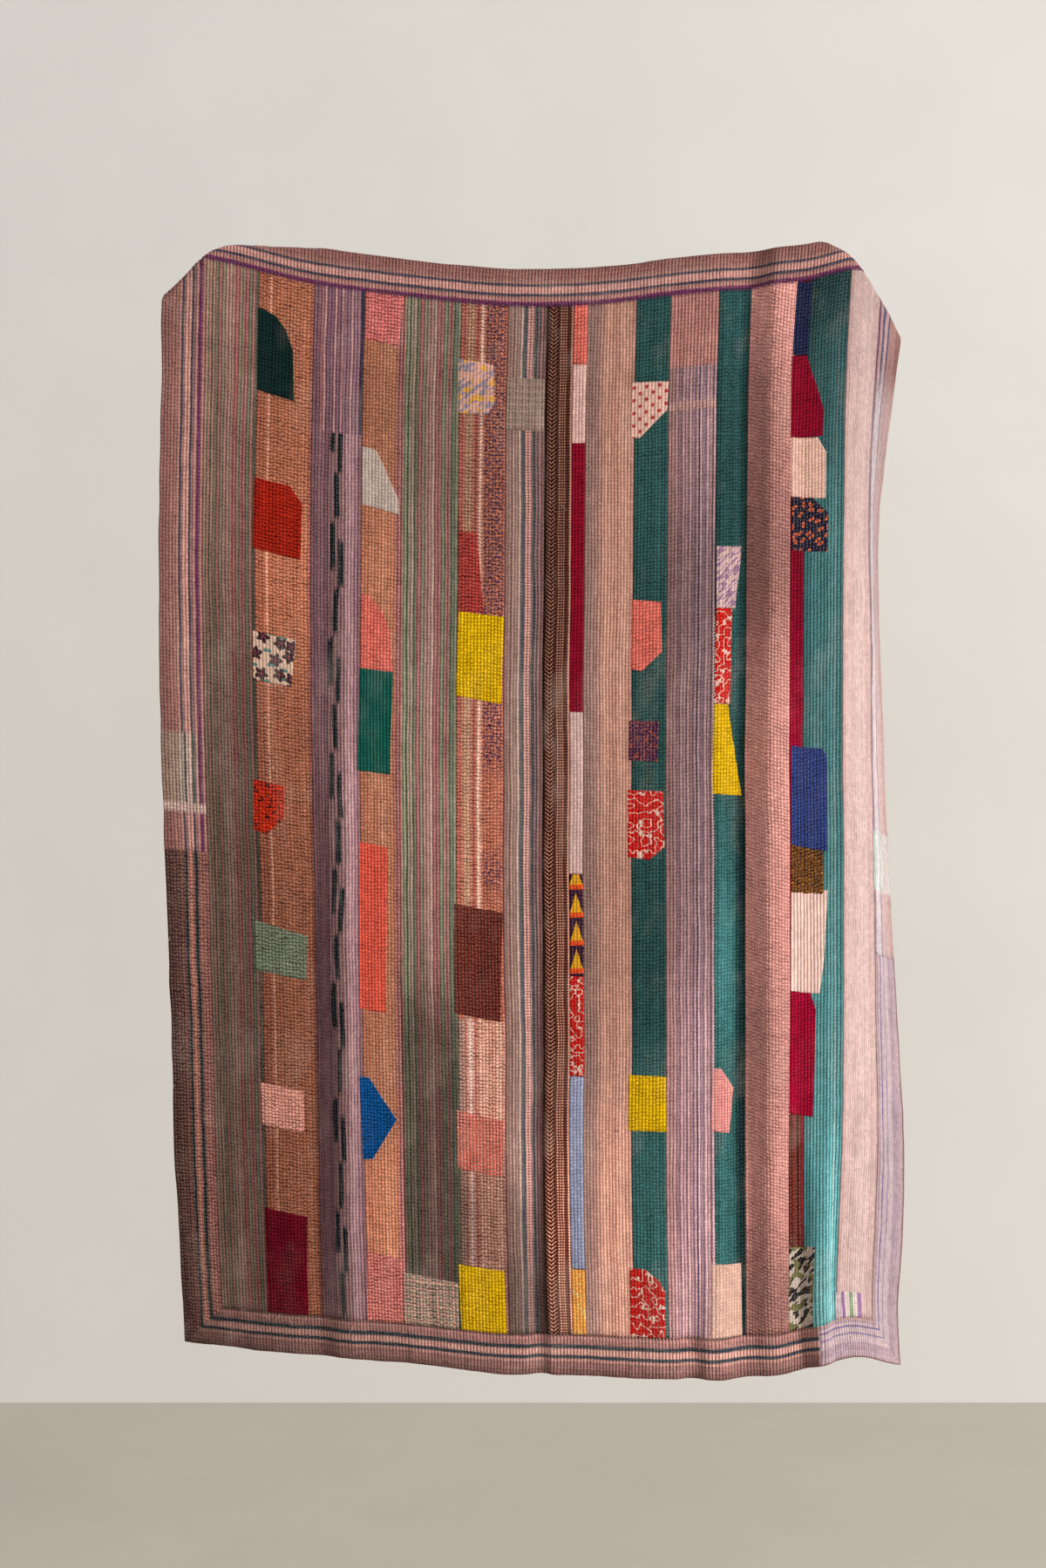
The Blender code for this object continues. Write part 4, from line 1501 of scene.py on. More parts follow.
BORDER_COTTONS = (
    ("top", "top_border_cotton", TOP, "ribs", {}),
    ("left_upper", "left_border_cotton", LEFT_UPPER, "ribs", {"levels": 0.6}),
    ("left_lower", "dark_border_cotton", edge(LEFT_DARK_STRIPES), "levels", {"rows": 0.7}),
    ("bottom", "hem_border_cotton", HEM, "ribs", {}),
    ("bottom_right", "lavender_hem_cotton", LAVENDER_HEM, "ribs", {"contrast": 0.4}),
    ("right_upper", "pale_border_cotton", RIGHT_UPPER, "soft", {"contrast": 0.35, "fading": 0.3}),
    ("right_lower", "lavender_border_cotton", edge(LAVENDER_EDGE_STRIPES), "soft", {"contrast": 0.4}),
)
BORDER_CLOTHS = {
    side: cloth(name, paint, sewing, tint_and_painted_shade=EDGE_TINT_AND_PAINTED_SHADE[side], **settings)
    for side, name, paint, sewing, settings in BORDER_COTTONS
}
print("border cottons:", len(BORDER_CLOTHS))

# %% [markdown]
# ## The cottons of the small pieces
#
# These come from many different saris. Most are one strong colour, and the rest are the
# prints from above.

# %% Small cottons
RUST_STRIPES = ((0, (92, 26, 20)), (8, (130, 52, 36)), (11, (80, 22, 18)), (18, (114, 42, 30)))
VIOLET_STRIPES = (
    (0, (186, 168, 172)), (10, (130, 90, 144)), (18, (210, 196, 190)), (30, (128, 150, 118)),
    (40, (210, 196, 190)), (50, (146, 108, 154)),
)

cloth("dark_green", (12, 40, 38), "waffle", thread=(50, 90, 82), fading=0.2)
cloth("red", (170, 32, 14), "levels", thread=(236, 90, 70), fading=0.1)
BEIGE_FLOWERS = flowers((212, 180, 158), (50, 22, 36), (120, 44, 54), (70, 126, 116), 0.030, 0.36)
cloth("beige_flowers", BEIGE_FLOWERS, "soft")
cloth("orange_red_specks", specks((200, 46, 20), (70, 20, 22), 0.009), "levels", thread=(236, 110, 80))
cloth("sage", (116, 128, 106), "levels", fading=0.2)
cloth("pale_pink", (232, 160, 142), "levels")
cloth("maroon", (106, 5, 28), "levels", thread=(140, 30, 50), fading=0.1)
cloth("coral_pink", (226, 122, 118), "levels")
cloth("grey_white", (190, 174, 162), "waffle", contrast=0.45)
cloth("coral", (236, 118, 104), "waffle", thread=(246, 160, 130), fading=0.2)
cloth("emerald", (12, 90, 78), "ribs", thread=(60, 140, 120), fading=0.15)
cloth("bright_coral", (238, 96, 76), "waffle", thread=(248, 150, 128), fading=0.1)
cloth("blue", (8, 84, 150), "levels", thread=(50, 120, 190), fading=0.05)
cloth("rose_pink", (232, 132, 122), "levels", fading=0.3)
cloth("pale_pink_check", check((160, 150, 130), (226, 170, 152), 0.0150, 0.45), "levels")
cloth("swirls", strokes((216, 164, 146), (150, 136, 150), 0.010, 0.034, (222, 164, 70)), "soft")
cloth("brick", (176, 56, 50), "levels", fading=0.2)
cloth("yellow", (238, 192, 4), "waffle", thread=(246, 206, 50), fading=0.1)
cloth("brown_red", (112, 42, 32), "waffle", fading=0.2)
cloth("faded_plaid", check((140, 118, 106), (172, 146, 134), 0.0124, 0.35), "soft")
cloth("pink_weave", check((226, 98, 80), (240, 176, 158), 0.0062, 0.5), "waffle")
cloth("pink_white", (230, 186, 176), "waffle", contrast=0.5, thread=(120, 90, 110))
cloth("lilac_white", (208, 174, 168), "waffle", contrast=0.4)
cloth("wax_print", wedges((52, 16, 44), (222, 160, 16), (222, 74, 18), 0.052), "soft", fading=0.1)
cloth("red_flowers", vines((194, 18, 14), (228, 196, 178), 0.0180, width=0.044), "soft", fading=0.1)
cloth("light_blue", (158, 166, 196), "waffle", contrast=0.6, thread=(220, 226, 240), fading=0.2)
cloth("orange", specks((255, 176, 78), (255, 214, 130), 0.009), "waffle", contrast=0.6, fading=0.1)
cloth("dotted", dots((228, 184, 168), (180, 48, 52), 0.0118, 0.0030), "soft")
cloth("purple_squiggles", vines((56, 26, 62), (196, 92, 60), 0.0062, width=0.035), "soft", fading=0.1)
cloth("lilac_strokes", strokes((208, 176, 172), (146, 110, 140), 0.0065, 0.024), "soft")
cloth("pink_red_grid", check((238, 172, 164), (206, 84, 88), 0.0053, 0.4), "soft")
cloth("cream", (226, 182, 164), "waffle", contrast=0.4, fading=0.2)
cloth("navy", (28, 36, 68), "waffle", thread=(110, 120, 170), fading=0.1)
NAVY_LEAVES = flowers((24, 24, 48), (206, 100, 60), (110, 26, 28), (24, 24, 48), 0.017, 0.24, 2.0)
cloth("navy_leaves", NAVY_LEAVES, "soft")
cloth("royal_blue", (44, 62, 128), "ribs", levels=0.5, thread=(176, 182, 214), fading=0.1)
cloth("brown_gold", vines((72, 40, 18), (184, 118, 38), 0.0054, (130, 80, 30), 0.06), "waffle", fading=0.1)
cloth("cream_pink", (242, 206, 194), "ribs", contrast=0.45, fading=0.2)
cloth("rust_stripes", stripes(0.026, RUST_STRIPES), "soft")
BLACK_WHITE_VINES = strokes((196, 182, 168), (34, 30, 34), 0.013, 0.032, (110, 108, 68))
cloth("black_white_vines", BLACK_WHITE_VINES, "soft", fading=0.1)
cloth("violet_stripes", stripes(0.067, VIOLET_STRIPES), "soft", contrast=0.4)
print("small cottons:", len(CLOTHS) - len(LONG_CLOTHS) - len(BORDER_CLOTHS) - 1)

# %% [markdown]
# ## The long strips
#
# Each strip is one length of cloth from the top seam to the hem seam. They are made in the same way,
# from their seams.

# %% Make the strips
BY_LEFT_CORNER = range(1, 5)
BY_RIGHT_CORNER = range(15, 18)


def stand_for(piece, name):
    """The cloth is drawn in place of the solid of this name."""
    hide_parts(name)
    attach(piece, "root")
    return piece


def make_strip(k):
    name, width, slot = STRIPS[k - 1]
    columns = columns_across(SEAMS[k], SEAMS[k + 1])
    rows = rows_down(k in BY_LEFT_CORNER or k in BY_RIGHT_CORNER)
    across, down = np.meshgrid(columns, rows)
    cloth_map = np.stack([across - SEAMS[k], down], axis=2)
    piece = sheet_of(name.replace("strip", "cloth"), across, down, cloth_map, LONG_CLOTHS[k], BACKING)
    return stand_for(piece, name)


for number in range(1, len(STRIPS) + 1):
    strip = make_strip(number)
    print(strip.name, len(strip.data.polygons), "faces")

# %% [markdown]
# ## The border
#
# Four sides meet in mitres. A level side gets extra columns that run out along each mitre, and an
# upright side gets extra rows. Where they start, on the inner corner, their points fall together
# and are merged into one.

# %% Make the border
MITRE_STEPS = 20


def place_border(name, across, down, outwards, along, size):
    cloth_map = np.stack([outwards, along], axis=2)
    piece = sheet_of("edging_" + name, across, down, cloth_map, BORDER_CLOTHS[name], BACKING)
    print(piece.name, len(piece.data.polygons), "faces, cut", size)
    return stand_for(piece, "border_" + name)


def level_side(name, slot, start, end, inner, depth, upwards, mitres, step):
    """A level side: its columns follow the strips, and its mitres run out on the sides named."""
    shares = evenly(0.0, 1.0, step / depth)
    seams_here = [s for s in SEAMS[1:-1] if start < s < end]
    places = [start, *seams_here, end]
    columns = np.concatenate([columns_across(a, b)[:-1] for a, b in zip(places, places[1:])] + [[end]])
    grid_columns = [np.full(len(shares), place) for place in columns]
    spread = np.linspace(0.0, 1.0, MITRE_STEPS + 1)[1:]
    if "left" in mitres:
        grid_columns = [start - SIDE_BORDER * shares * s for s in spread[::-1]] + grid_columns
    if "right" in mitres:
        grid_columns = grid_columns + [end + SIDE_BORDER * shares * s for s in spread]
    across = np.stack(grid_columns, axis=1)
    out = np.repeat((depth * shares)[:, None], across.shape[1], axis=1)
    down = inner - out if upwards else inner + out
    if upwards:
        across, down, out = across[::-1], down[::-1], out[::-1]
    return place_border(name, across, down, out, across, (round(end - start, 3), depth))


def upright_side(name, left, start, end, mitre_depth):
    """An upright side: its mitre runs up past start, or down past end, by a depth with that sign."""
    columns = columns_across(0.0, SIDE_BORDER)
    out = SIDE_BORDER - columns if left else columns
    field = rows_down(True)
    rows = np.unique(np.concatenate([[start], field[(field > start) & (field < end)], [end]]))
    grid_rows = [np.full(len(columns), row) for row in rows]
    spread = np.linspace(0.0, 1.0, MITRE_STEPS + 1)[1:]
    runs = [mitre_depth * (out / SIDE_BORDER) * s for s in spread]
    if mitre_depth < 0.0:
        grid_rows = [start + run for run in runs[::-1]] + grid_rows
    else:
        grid_rows = grid_rows + [end + run for run in runs]
    down = np.stack(grid_rows)
    across = np.repeat((columns if left else WIDTH - SIDE_BORDER + columns)[None, :], len(down), axis=0)
    outwards = np.repeat(out[None, :], len(down), axis=0)
    return place_border(name, across, down, outwards, down, (SIDE_BORDER, round(end - start, 3)))


HEM_STEP = 0.008
HEM_LEFT = (SEAMS[1], HEM_JOIN_ACROSS, FIELD_LENGTH, HEM_BORDER)
HEM_RIGHT = (HEM_JOIN_ACROSS, SEAMS[-2], FIELD_LENGTH, HEM_BORDER)
level_side("top", "border_striped", SEAMS[1], SEAMS[-2], 0.0, TOP_BORDER, True, ("left", "right"), 0.004)
level_side("bottom", "border_striped", *HEM_LEFT, False, ("left",), HEM_STEP)
level_side("bottom_right", "border_lavender", *HEM_RIGHT, False, ("right",), HEM_STEP)
upright_side("left_upper", True, 0.0, LEFT_JOIN_DOWN, -TOP_BORDER)
upright_side("left_lower", True, LEFT_JOIN_DOWN, FIELD_LENGTH, HEM_BORDER)
upright_side("right_upper", False, 0.0, RIGHT_JOIN_DOWN, -TOP_BORDER)
upright_side("right_lower", False, RIGHT_JOIN_DOWN, FIELD_LENGTH, HEM_BORDER)

# %% [markdown]
# ## The small pieces sewn on
#
# Each small piece is cut from its outline: a fine flat grid is cut along every side of the outline
# with a bisect, and then bent onto the sewn surface, a little above it in the middle and close to it
# at its turned-in edge. The table gives the corners in millimetres, across from the left seam of the
# strip it is sewn to and down from the top seam, going round clockwise.

# %% Outlines of the small pieces
PATCHES = {
    2: (
        ("dark_green", ((0, 68), (6, 68), (32, 76), (52, 97), (66, 132), (70, 224), (1, 219))),
        ("red", ((-1, 380), (64, 382), (87, 411), (84, 514), (-3, 509))),
        ("beige_flowers", ((-4, 659), (76, 662), (65, 750), (-4, 748))),
        ("orange_red_specks", ((-8, 931), (50, 936), (48, 996), (16, 1028), (-8, 1025))),
        ("sage", ((-12, 1190), (87, 1208), (83, 1290), (-12, 1282))),
        ("pale_pink", ((-6, 1491), (75, 1499), (74, 1578), (-4, 1570))),
        ("maroon", ((-3, 1728), (78, 1738), (73, 1929), (-4, 1929))),
    ),
    4: (
        ("coral_pink", ((3, 3), (72, 3), (65, 96), (2, 90))),
        ("grey_white", ((0, 289), (28, 294), (68, 378), (71, 409), (2, 397))),
        ("coral", ((2, 563), (15, 566), (41, 593), (55, 628), (62, 702), (0, 700))),
        ("emerald", ((-1, 701), (61, 703), (56, 893), (-4, 890))),
        ("bright_coral", ((-2, 1022), (50, 1029), (45, 1340), (-5, 1334))),
        ("blue", ((-8, 1462), (12, 1464), (61, 1540), (16, 1617), (-3, 1619))),
        ("rose_pink", ((0, 1796), (68, 1804), (64, 1929), (-3, 1929))),
    ),
    5: (("pale_pink_check", ((-3, 1831), (101, 1840), (99, 1929), (-5, 1929))),),
    6: (
        ("swirls", ((-2, 101), (39, 110), (64, 112), (66, 186), (53, 207), (-1, 209))),
        ("brick", ((2, 427), (36, 429), (49, 579), (3, 577))),
        ("yellow", ((3, 577), (87, 583), (84, 746), (-1, 734))),
        ("brown_red", ((-3, 1123), (87, 1136), (78, 1341), (-5, 1329))),
        ("pink_weave", ((-4, 1512), (85, 1526), (82, 1633), (-2, 1621))),
        ("yellow", ((-4, 1804), (81, 1810), (83, 1929), (-2, 1929))),
    ),
    7: (("faded_plaid", ((1, 136), (72, 138), (72, 236), (1, 234))),),
    9: (
        ("coral", ((0, 1), (26, 1), (26, 112), (0, 111))),
        ("pink_white", ((0, 112), (26, 113), (25, 260), (0, 259))),
        ("lilac_white", ((0, 760), (25, 761), (25, 1064), (0, 1062))),
        ("wax_print", ((0, 1063), (26, 1065), (26, 1254), (0, 1252))),
        ("red_flowers", ((-1, 1253), (26, 1255), (27, 1442), (0, 1440))),
        ("light_blue", ((0, 1441), (26, 1443), (25, 1806), (0, 1804))),
        ("orange", ((0, 1805), (25, 1807), (25, 1929), (0, 1929))),
    ),
    11: (
        ("dotted", ((-4, 154), (63, 160), (61, 213), (11, 260), (-5, 258))),
        ("coral", ((-1, 558), (53, 567), (55, 659), (19, 692), (-2, 686))),
        ("purple_squiggles", ((-4, 781), (51, 787), (49, 862), (-5, 855))),
        ("red_flowers", ((-8, 910), (59, 917), (61, 1020), (33, 1042), (-7, 1035))),
        ("yellow", ((-5, 1440), (63, 1445), (65, 1547), (-5, 1544))),
        ("red_flowers", ((-7, 1800), (23, 1802), (46, 1821), (59, 1842), (58, 1929), (-8, 1929))),
    ),
    13: (
        ("lilac_strokes", ((3, 471), (54, 474), (53, 500), (42, 588), (3, 585))),
        ("red_flowers", ((3, 585), (35, 588), (33, 764), (-1, 761))),
        ("yellow", ((-1, 762), (28, 764), (59, 934), (-2, 927))),
        ("pink_red_grid", ((-3, 1430), (13, 1432), (41, 1470), (31, 1553), (-6, 1546))),
        ("cream", ((-7, 1791), (55, 1796), (58, 1929), (-8, 1929))),
    ),
    15: (
        ("navy", ((-2, 3), (27, 6), (27, 141), (-3, 137))),
        ("crimson_cotton", ((-4, 138), (27, 142), (46, 205), (60, 246), (59, 297), (-2, 287))),
        ("cream", ((-1, 287), (50, 297), (66, 328), (66, 413), (0, 395))),
        ("navy_leaves", ((2, 395), (40, 404), (71, 441), (70, 512), (3, 493))),
        ("royal_blue", ((4, 850), (63, 870), (72, 889), (70, 1060), (2, 1031))),
        ("brown_gold", ((2, 1031), (62, 1056), (65, 1143), (2, 1118))),
        ("cream_pink", ((2, 1119), (72, 1131), (64, 1256), (55, 1318), (1, 1301))),
        ("deep_crimson_cotton", ((0, 1301), (38, 1312), (49, 1347), (44, 1542), (-3, 1525))),
        ("rust_stripes", ((-3, 1527), (24, 1534), (24, 1779), (-5, 1771))),
        ("black_white_vines", ((-5, 1772), (50, 1782), (45, 1929), (-8, 1929))),
    ),
    17: (("violet_stripes", ((-4, 1879), (62, 1883), (60, 1929), (-6, 1929))),),
}
print("strips with small pieces:", len(PATCHES))

# %% Sizes of a small piece
PATCH_ROW = 0.006
PATCH_EDGE_LIFT = 0.00045
PATCH_LIFT = 0.00100
PATCH_EDGE = 0.0030
PATCH_THICKNESS = 0.0005
PATCH_TICKS = 4
print("a small piece stands", PATCH_LIFT, "m over the strip")

# %% Cut and lay the small pieces
def cut_out(outline, left_seam):
    """A flat grid over the outline, cut along each of its sides. Up is plus in this flat layout."""
    across = [left_seam + x * 0.001 for x, _ in outline]
    down = [y * 0.001 for _, y in outline]
    low, high = row_number(min(across)), row_number(max(across))
    ticks = np.arange(math.floor(low * PATCH_TICKS) - 1, math.ceil(high * PATCH_TICKS) + 2)
    columns = np.interp(ticks / PATCH_TICKS, ROW_TOTALS, SEAMS)
    rows = evenly(min(down) - 0.001, max(down) + 0.001, PATCH_ROW)
    shape = bmesh.new()
    bmesh.ops.create_grid(shape, x_segments=len(columns) - 1, y_segments=len(rows) - 1, size=0.5)
    for point in shape.verts:
        i = round((point.co.x + 0.5) * (len(columns) - 1))
        j = round((0.5 - point.co.y) * (len(rows) - 1))
        point.co = (columns[i], -rows[j], 0.0)
    corners = [np.array([x, -y]) for x, y in zip(across, down)]
    for start, end in zip(corners, corners[1:] + corners[:1]):
        side = end - start
        bmesh.ops.bisect_plane(
            shape,
            geom=shape.verts[:] + shape.edges[:] + shape.faces[:],
            dist=1e-6,
            plane_co=(*start, 0.0),
            plane_no=(-side[1], side[0], 0.0),
            clear_outer=True,
        )
    shape.verts.index_update()
    flat = np.array([(v.co.x, -v.co.y) for v in shape.verts])
    faces = [[v.index for v in face.verts] for face in shape.faces]
    shape.free()
    return flat, faces, corners


def edge_distance(flat, corners):
    """How far inside the outline each point is."""
    nearest = np.full(len(flat), 1.0)
    for start, end in zip(corners, corners[1:] + corners[:1]):
        side = (end - start) / np.linalg.norm(end - start)
        away = (flat[:, 0] - start[0]) * side[1] - (-flat[:, 1] - start[1]) * side[0]
        nearest = np.minimum(nearest, np.abs(away))
    return nearest


def make_patches(k):
    """All the small pieces that are sewn to one strip, as one object."""
    points, faces, cloth_map, rows_map, choices, used = [], [], [], [], [], []
    for cotton, outline in PATCHES[k]:
        flat, cut_faces, corners = cut_out(outline, SEAMS[k])
        distance = edge_distance(flat, corners)
        lift = PATCH_EDGE_LIFT + (PATCH_LIFT - PATCH_EDGE_LIFT) * ease(distance / PATCH_EDGE)
        start = sum(len(p) for p in points)
        points.append(sewn(flat[:, 0], flat[:, 1], lift))
        faces += [[start + i for i in face] for face in cut_faces]
        cloth_map.append(np.stack([flat[:, 0] - SEAMS[k], flat[:, 1]], axis=1))
        rows_map.append(np.stack([row_number(flat[:, 0]), -flat[:, 1] / STITCH_PITCH], axis=1))
        if CLOTHS[cotton] not in used:
            used.append(CLOTHS[cotton])
        choices += [used.index(CLOTHS[cotton])] * len(cut_faces)
    maps = {"cloth": np.concatenate(cloth_map), "rows": np.concatenate(rows_map)}
    name = STRIPS[k - 1][0].replace("strip", "patches")
    face_array = np.array(faces, dtype=object)
    piece = finish_sheet(name, np.concatenate(points), face_array, maps, PATCH_THICKNESS, used, choices)
    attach(piece, "root")
    return piece


patches = {k: make_patches(k) for k in PATCHES}
print("small pieces:", sum(len(group) for group in PATCHES.values()), "on", len(patches), "strips")

# %% [markdown]
# ## Hand stitches that stand proud
#
# The seam under the top border is overcast with a thick purple thread, and a few other seams with
# paler ones. One stitch is a small grain of thread. It is modelled once, and then laid again and
# again along the seam on the flat cloth, slanting, each a little different, and bent with it.

# %% One stitch
bpy.ops.mesh.primitive_uv_sphere_add(segments=6, ring_count=4, radius=0.5)
grain = bpy.context.active_object
grain.scale = (0.0015, 0.0066, 0.0010)
bpy.ops.object.transform_apply(location=False, rotation=False, scale=True)
GRAIN_POINTS = np.array([point.co[:] for point in grain.data.vertices])
GRAIN_FACES = [list(face.vertices) for face in grain.data.polygons]
bpy.data.objects.remove(grain, do_unlink=True)
print("one stitch:", len(GRAIN_FACES), "faces")


# %% Thread material
PLY_LUMPS = (900.0, 900.0)


def darkened(color, share):
    return tuple(share * channel for channel in tint(*color)[:3]) + (1.0,)


def thread_cotton(name, color):
    material, tree, shader = new_material(name, {"Specular IOR Level": 0.2, "Sheen Weight": 0.2})
    place = node_of(tree, "TexCoord").outputs["Object"]
    ply = noise(tree, stretched(tree, place, *PLY_LUMPS), 2.0)
    color_of_ply = blend(tree, between(tree, ply, 0.3, 0.7), darkened(color, 0.55), tint(*color))
    tree.links.new(color_of_ply, shader.inputs["Base Color"])
    tree.links.new(between(tree, ply, 0.2, 0.8, 0.75, 0.95), shader.inputs["Roughness"])
    return material


THREADS = {
    "purple": thread_cotton("purple_thread", (116, 44, 104)),
    "pale": thread_cotton("pale_thread", (226, 204, 196)),
    "dark": thread_cotton("dark_thread", (70, 48, 46)),
    "green": thread_cotton("green_thread", (30, 70, 62)),
}
print("thread colours:", ", ".join(THREADS))


# %% Overcast seams
THREAD_LIFT = 0.0008
PALE_SEAM_ACROSS = SEAMS[13] - 0.001
# One row for each seam: its name, its thread, where it starts and ends, the pitch of its stitches,
# their slant in degrees, and the slot of the cloth it is sewn to.
OVERCAST_SEAMS = (
    ("top_seam_stitches", "purple", (SEAMS[1], 0.0012), (SEAMS[-2], 0.0012), 0.0042, 62.0, "border_striped"),
    (
        "lavender_seam_stitches", "pale", (PALE_SEAM_ACROSS, 0.60), (PALE_SEAM_ACROSS, 1.92),
        0.0056, 68.0, "lavender_plaid",
    ),
    (
        "hem_seam_stitches", "dark", (SEAMS[1], FIELD_LENGTH), (HEM_JOIN_ACROSS, FIELD_LENGTH),
        0.0062, 60.0, "border_striped",
    ),
    (
        "darning_mark", "green", (SEAMS[10] + 0.060, 1.545), (SEAMS[10] + 0.070, 1.545),
        0.0045, 88.0, "peach",
    ),
)


def thread_piece(name, points, faces, color):
    """All the threads of one seam or kind, as one smooth object."""
    mesh = bpy.data.meshes.new(name)
    mesh.from_pydata(np.concatenate(points).tolist(), [], faces)
    mesh.materials.append(THREADS[color])
    mesh.shade_smooth()
    shape = bmesh.new()
    shape.from_mesh(mesh)
    bmesh.ops.recalc_face_normals(shape, faces=shape.faces[:])
    shape.to_mesh(mesh)
    shape.free()
    piece = bpy.data.objects.new(name, mesh)
    bpy.context.scene.collection.objects.link(piece)
    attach(piece, "root")
    return piece


def overcast(name, color, start, end, pitch, slant, slot):
    """Slanting stitches over a seam, from one flat place to another."""
    start, end = np.array(start), np.array(end)
    length = np.linalg.norm(end - start)
    along = (end - start) / length
    count = int(length / pitch)
    random = np.random.default_rng(count)
    points, faces = [], []
    for k in range(count):
        centre = start + along * (k + 0.5) * pitch
        turn = math.atan2(along[1], along[0]) + math.radians(slant + random.uniform(-12.0, 12.0))
        size = random.uniform(0.8, 1.15)
        side = GRAIN_POINTS[:, 0] * size
        run = GRAIN_POINTS[:, 1] * size
        across = centre[0] + run * math.cos(turn) - side * math.sin(turn)
        down = centre[1] + run * math.sin(turn) + side * math.cos(turn)
        faces += [[i + k * len(GRAIN_POINTS) for i in face] for face in GRAIN_FACES]
        points.append(sewn(across, down, THREAD_LIFT + GRAIN_POINTS[:, 2]))
    print(name, count, "stitches")
    return thread_piece(name, points, faces, color)


stitches = {row[0]: overcast(*row) for row in OVERCAST_SEAMS}

# %% [markdown]
# ## Loose threads
#
# An old quilt sheds. Ends of thread stick out where a row of stitches stops or a seam has frayed. Each
# is a thin tube along a short curve that starts on the cloth and falls free of it.

# %% Loose threads
THREAD_RADIUS = 0.00035
THREAD_SIDES = 5
THREAD_STEPS = 7
THREAD_TAPER = 0.4
THREAD_DROOP = 0.35
THREAD_START_LIFT = 0.0004
# One row for each loose end: across, down, how far it runs across, down and out.
LOOSE_ENDS = (
    (0.118, 1.931, 0.010, -0.006, 0.004),
    (0.162, 1.932, 0.012, 0.004, 0.005),
    (0.196, 1.929, -0.008, 0.010, 0.004),
    (0.214, 1.936, 0.006, 0.012, 0.005),
    (0.262, 1.934, 0.014, -0.005, 0.004),
    (0.347, 1.933, -0.020, 0.026, 0.006),
    (0.366, 1.930, 0.012, -0.008, 0.004),
    (0.741, 0.372, 0.012, 0.008, 0.005),
    (0.786, 0.296, 0.014, 0.006, 0.005),
    (1.010, 1.934, -0.012, 0.014, 0.005),
    (1.093, 0.640, 0.008, 0.014, 0.004),
    (1.284, 1.130, 0.010, 0.016, 0.005),
    (0.003, 1.240, -0.006, 0.018, 0.004),
    (0.004, 1.512, -0.005, 0.012, 0.005),
    (1.452, 1.010, 0.004, 0.022, 0.003),
    (0.700, 2.003, 0.004, 0.010, 0.004),
)


def thread_tube(end):
    """The points of one loose end: rings of points along a curve that droops."""
    across, down, run_across, run_down, out = end
    rings = []
    for step in range(THREAD_STEPS + 1):
        t = step / THREAD_STEPS
        centre = np.array([
            across + run_across * t,
            down + run_down * t + THREAD_DROOP * abs(run_across) * t * t,
            THREAD_START_LIFT + out * math.sin(math.pi * (0.15 + 0.75 * t)) * t,
        ])
        radius = THREAD_RADIUS * (1.0 - THREAD_TAPER * t)
        for corner in range(THREAD_SIDES):
            angle = 2.0 * math.pi * corner / THREAD_SIDES
            ring = (math.cos(angle) * radius, 0.0, math.sin(angle) * radius)
            if abs(run_across) > abs(run_down):
                ring = (0.0, math.cos(angle) * radius, math.sin(angle) * radius)
            rings.append(centre + ring)
    return np.array(rings)


def make_loose_threads():
    points, faces = [], []
    for k, end in enumerate(LOOSE_ENDS):
        flat = thread_tube(end)
        base = k * len(flat)
        points.append(sewn(flat[:, 0], flat[:, 1], flat[:, 2]))
        for step in range(THREAD_STEPS):
            for corner in range(THREAD_SIDES):
                a = base + step * THREAD_SIDES + corner
                b = base + step * THREAD_SIDES + (corner + 1) % THREAD_SIDES
                faces.append([a, b, b + THREAD_SIDES, a + THREAD_SIDES])
        faces.append([base + corner for corner in range(THREAD_SIDES)])
        faces.append([base + THREAD_STEPS * THREAD_SIDES + corner for corner in range(THREAD_SIDES)])
    return thread_piece("loose_threads", points, faces, "pale")


loose_threads = make_loose_threads()
print("loose ends:", len(LOOSE_ENDS))

# %% What is sewn on each strip
STITCHED_ON = {
    "strip_12_lavender": [stitches["lavender_seam_stitches"]],
    "strip_10_peach": [stitches["darning_mark"]],
}
for number, (name, width, _) in enumerate(STRIPS, start=1):
    sewn_on = [patches[number]] if number in patches else []
    sewn_on += STITCHED_ON.get(name, [])

# %% [markdown]
# ## Room, light and camera
#
# The quilt hangs in front of a pale wall, over a pale floor. Daylight comes softly from the right, so
# one large lamp stands there, with a weaker one on the left. Seen from behind, the wall
# is clear, so that the back of the quilt can be looked at.

# %% Floor and wall
FLOOR_HEIGHT = -2.608
WALL_DEPTH = 1.8
STAGE_SIZE = 14.0
UPRIGHT = (math.pi / 2.0, 0.0, 0.0)
PAINT_LUMPS = (3.0, 3.0)


def stage_paint(name, color, clear_behind):
    material, tree, shader = new_material(name, {"Roughness": 0.8})
    place = node_of(tree, "TexCoord").outputs["Object"]
    grain = noise(tree, stretched(tree, place, *PAINT_LUMPS), 3.0)
    painted = blend(tree, grain, darkened(color, 0.94), tint(*color))
    tree.links.new(painted, shader.inputs["Base Color"])
    if clear_behind:
        clear = node_of(tree, "BsdfTransparent")
        choose = node_of(tree, "MixShader")
        side = node_of(tree, "NewGeometry")
        tree.links.new(side.outputs["Backfacing"], choose.inputs[0])
        tree.links.new(shader.outputs[0], choose.inputs[1])
        tree.links.new(clear.outputs[0], choose.inputs[2])
        tree.links.new(choose.outputs[0], tree.nodes["Material Output"].inputs[0])
    return material


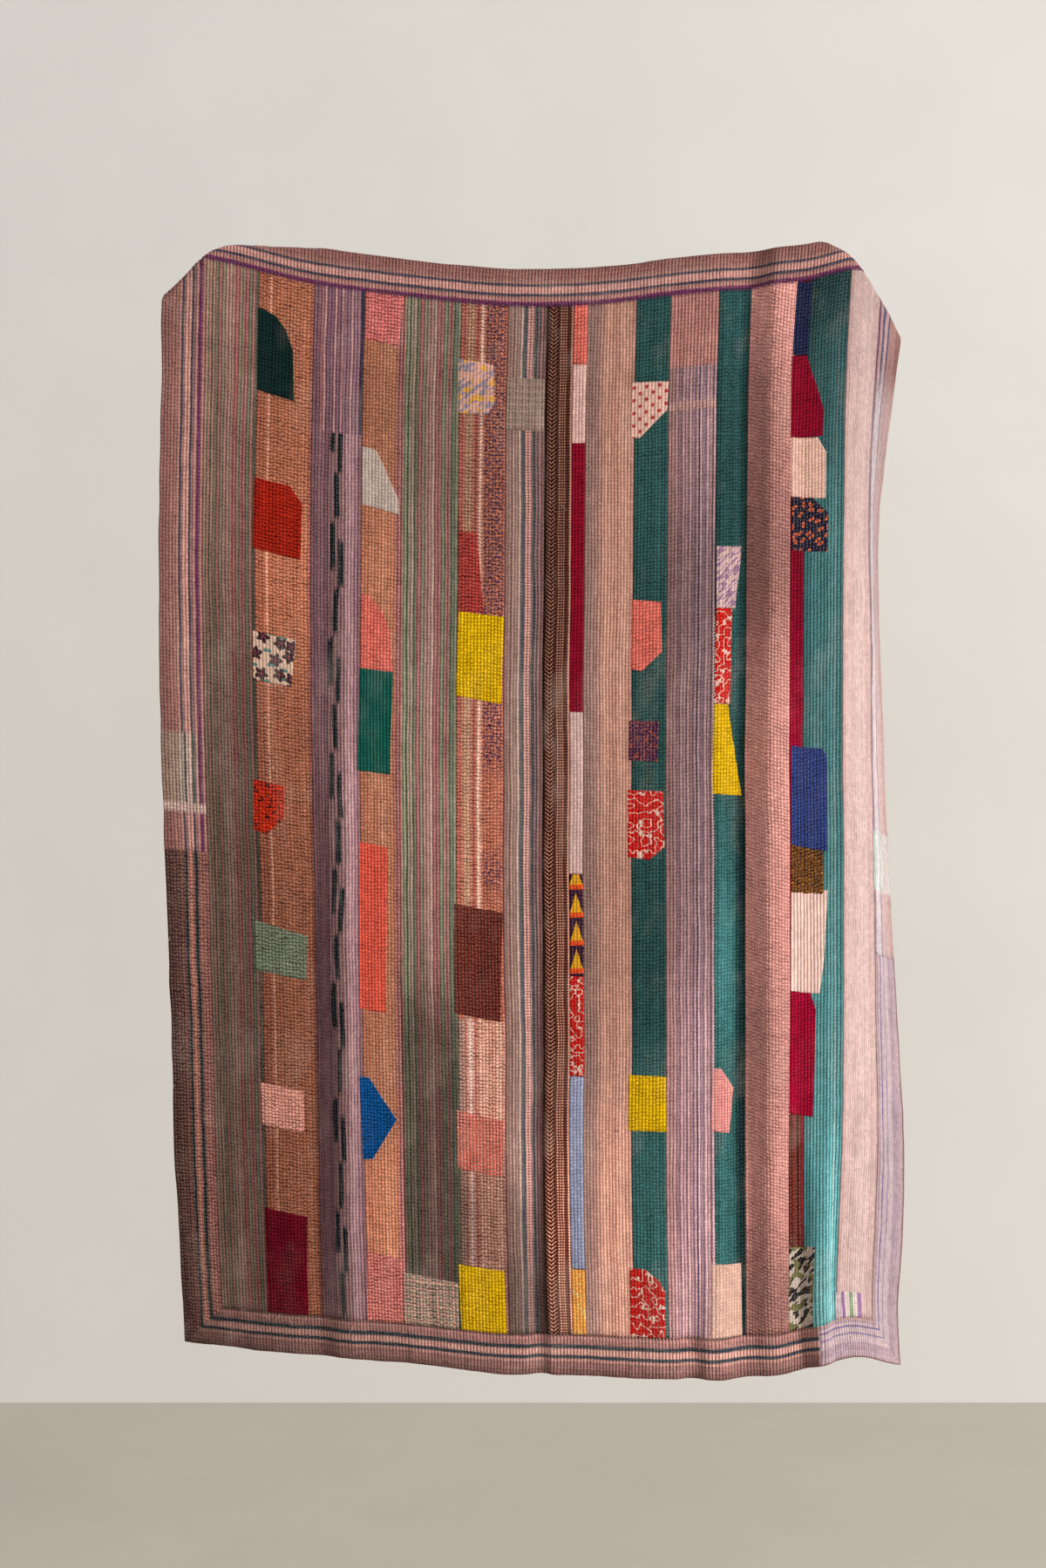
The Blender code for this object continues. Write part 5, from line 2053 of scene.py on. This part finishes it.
bpy.ops.mesh.primitive_plane_add(size=STAGE_SIZE, location=(0.0, -3.0, FLOOR_HEIGHT))
floor = bpy.context.active_object
floor.name = "floor"
floor.data.materials.append(stage_paint("pale_floor", (206, 198, 186), False))
bpy.ops.mesh.primitive_plane_add(size=STAGE_SIZE, location=(0.0, WALL_DEPTH, 0.0), rotation=UPRIGHT)
wall = bpy.context.active_object
wall.name = "wall"
wall.data.materials.append(stage_paint("pale_wall", (217, 214, 208), True))
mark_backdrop(floor, wall)
print("floor at", FLOOR_HEIGHT, "and wall at", WALL_DEPTH)


# %% Lights
def soft_lamp(name, place, aim, size, power, color):
    bpy.ops.object.light_add(type="AREA", location=place)
    lamp = bpy.context.active_object
    lamp.name = name
    lamp.data.shape = "DISK"
    lamp.data.size = size
    lamp.data.energy = power
    lamp.data.color = color
    way = np.subtract(aim, place)
    lamp.rotation_euler = (
        math.atan2(math.hypot(way[0], way[1]), -way[2]),
        0.0,
        math.atan2(way[1], way[0]) - math.pi / 2.0,
    )
    return lamp


QUILT_MIDDLE = (0.0, 0.0, -1.0)
soft_lamp("window_light", (14.0, -7.6, 1.2), QUILT_MIDDLE, size=3.6, power=2600.0, color=(1.0, 0.985, 0.965))
soft_lamp("room_light", (-3.4, -4.6, 0.6), QUILT_MIDDLE, size=3.0, power=34.0, color=(1.0, 0.965, 0.93))
world = bpy.data.worlds.new("studio")
bpy.context.scene.world = world
world.use_nodes = True
world.node_tree.nodes["Background"].inputs[0].default_value = (0.92, 0.93, 0.95, 1.0)
world.node_tree.nodes["Background"].inputs[1].default_value = 0.55
bpy.context.scene.view_settings.view_transform = "Standard"
print("lamps:", len(bpy.data.lights))

# %% Camera
CAMERA_PLACE = (0.0, -4.03, -0.952)
LENS = 50.0
bpy.ops.object.camera_add(location=CAMERA_PLACE, rotation=UPRIGHT)
camera = bpy.context.active_object
camera.data.lens = LENS
camera.data.sensor_width = 36.0
bpy.context.scene.camera = camera
print("camera", LENS, "mm at", CAMERA_PLACE)

# %% [markdown]
# ## Finish
#

# %% Count the triangles and finish
bpy.ops.object.select_all(action="DESELECT")
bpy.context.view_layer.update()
triangles = sum(len(face.vertices) - 2 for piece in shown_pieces() for face in piece.data.polygons)
print("triangles in all:", triangles)
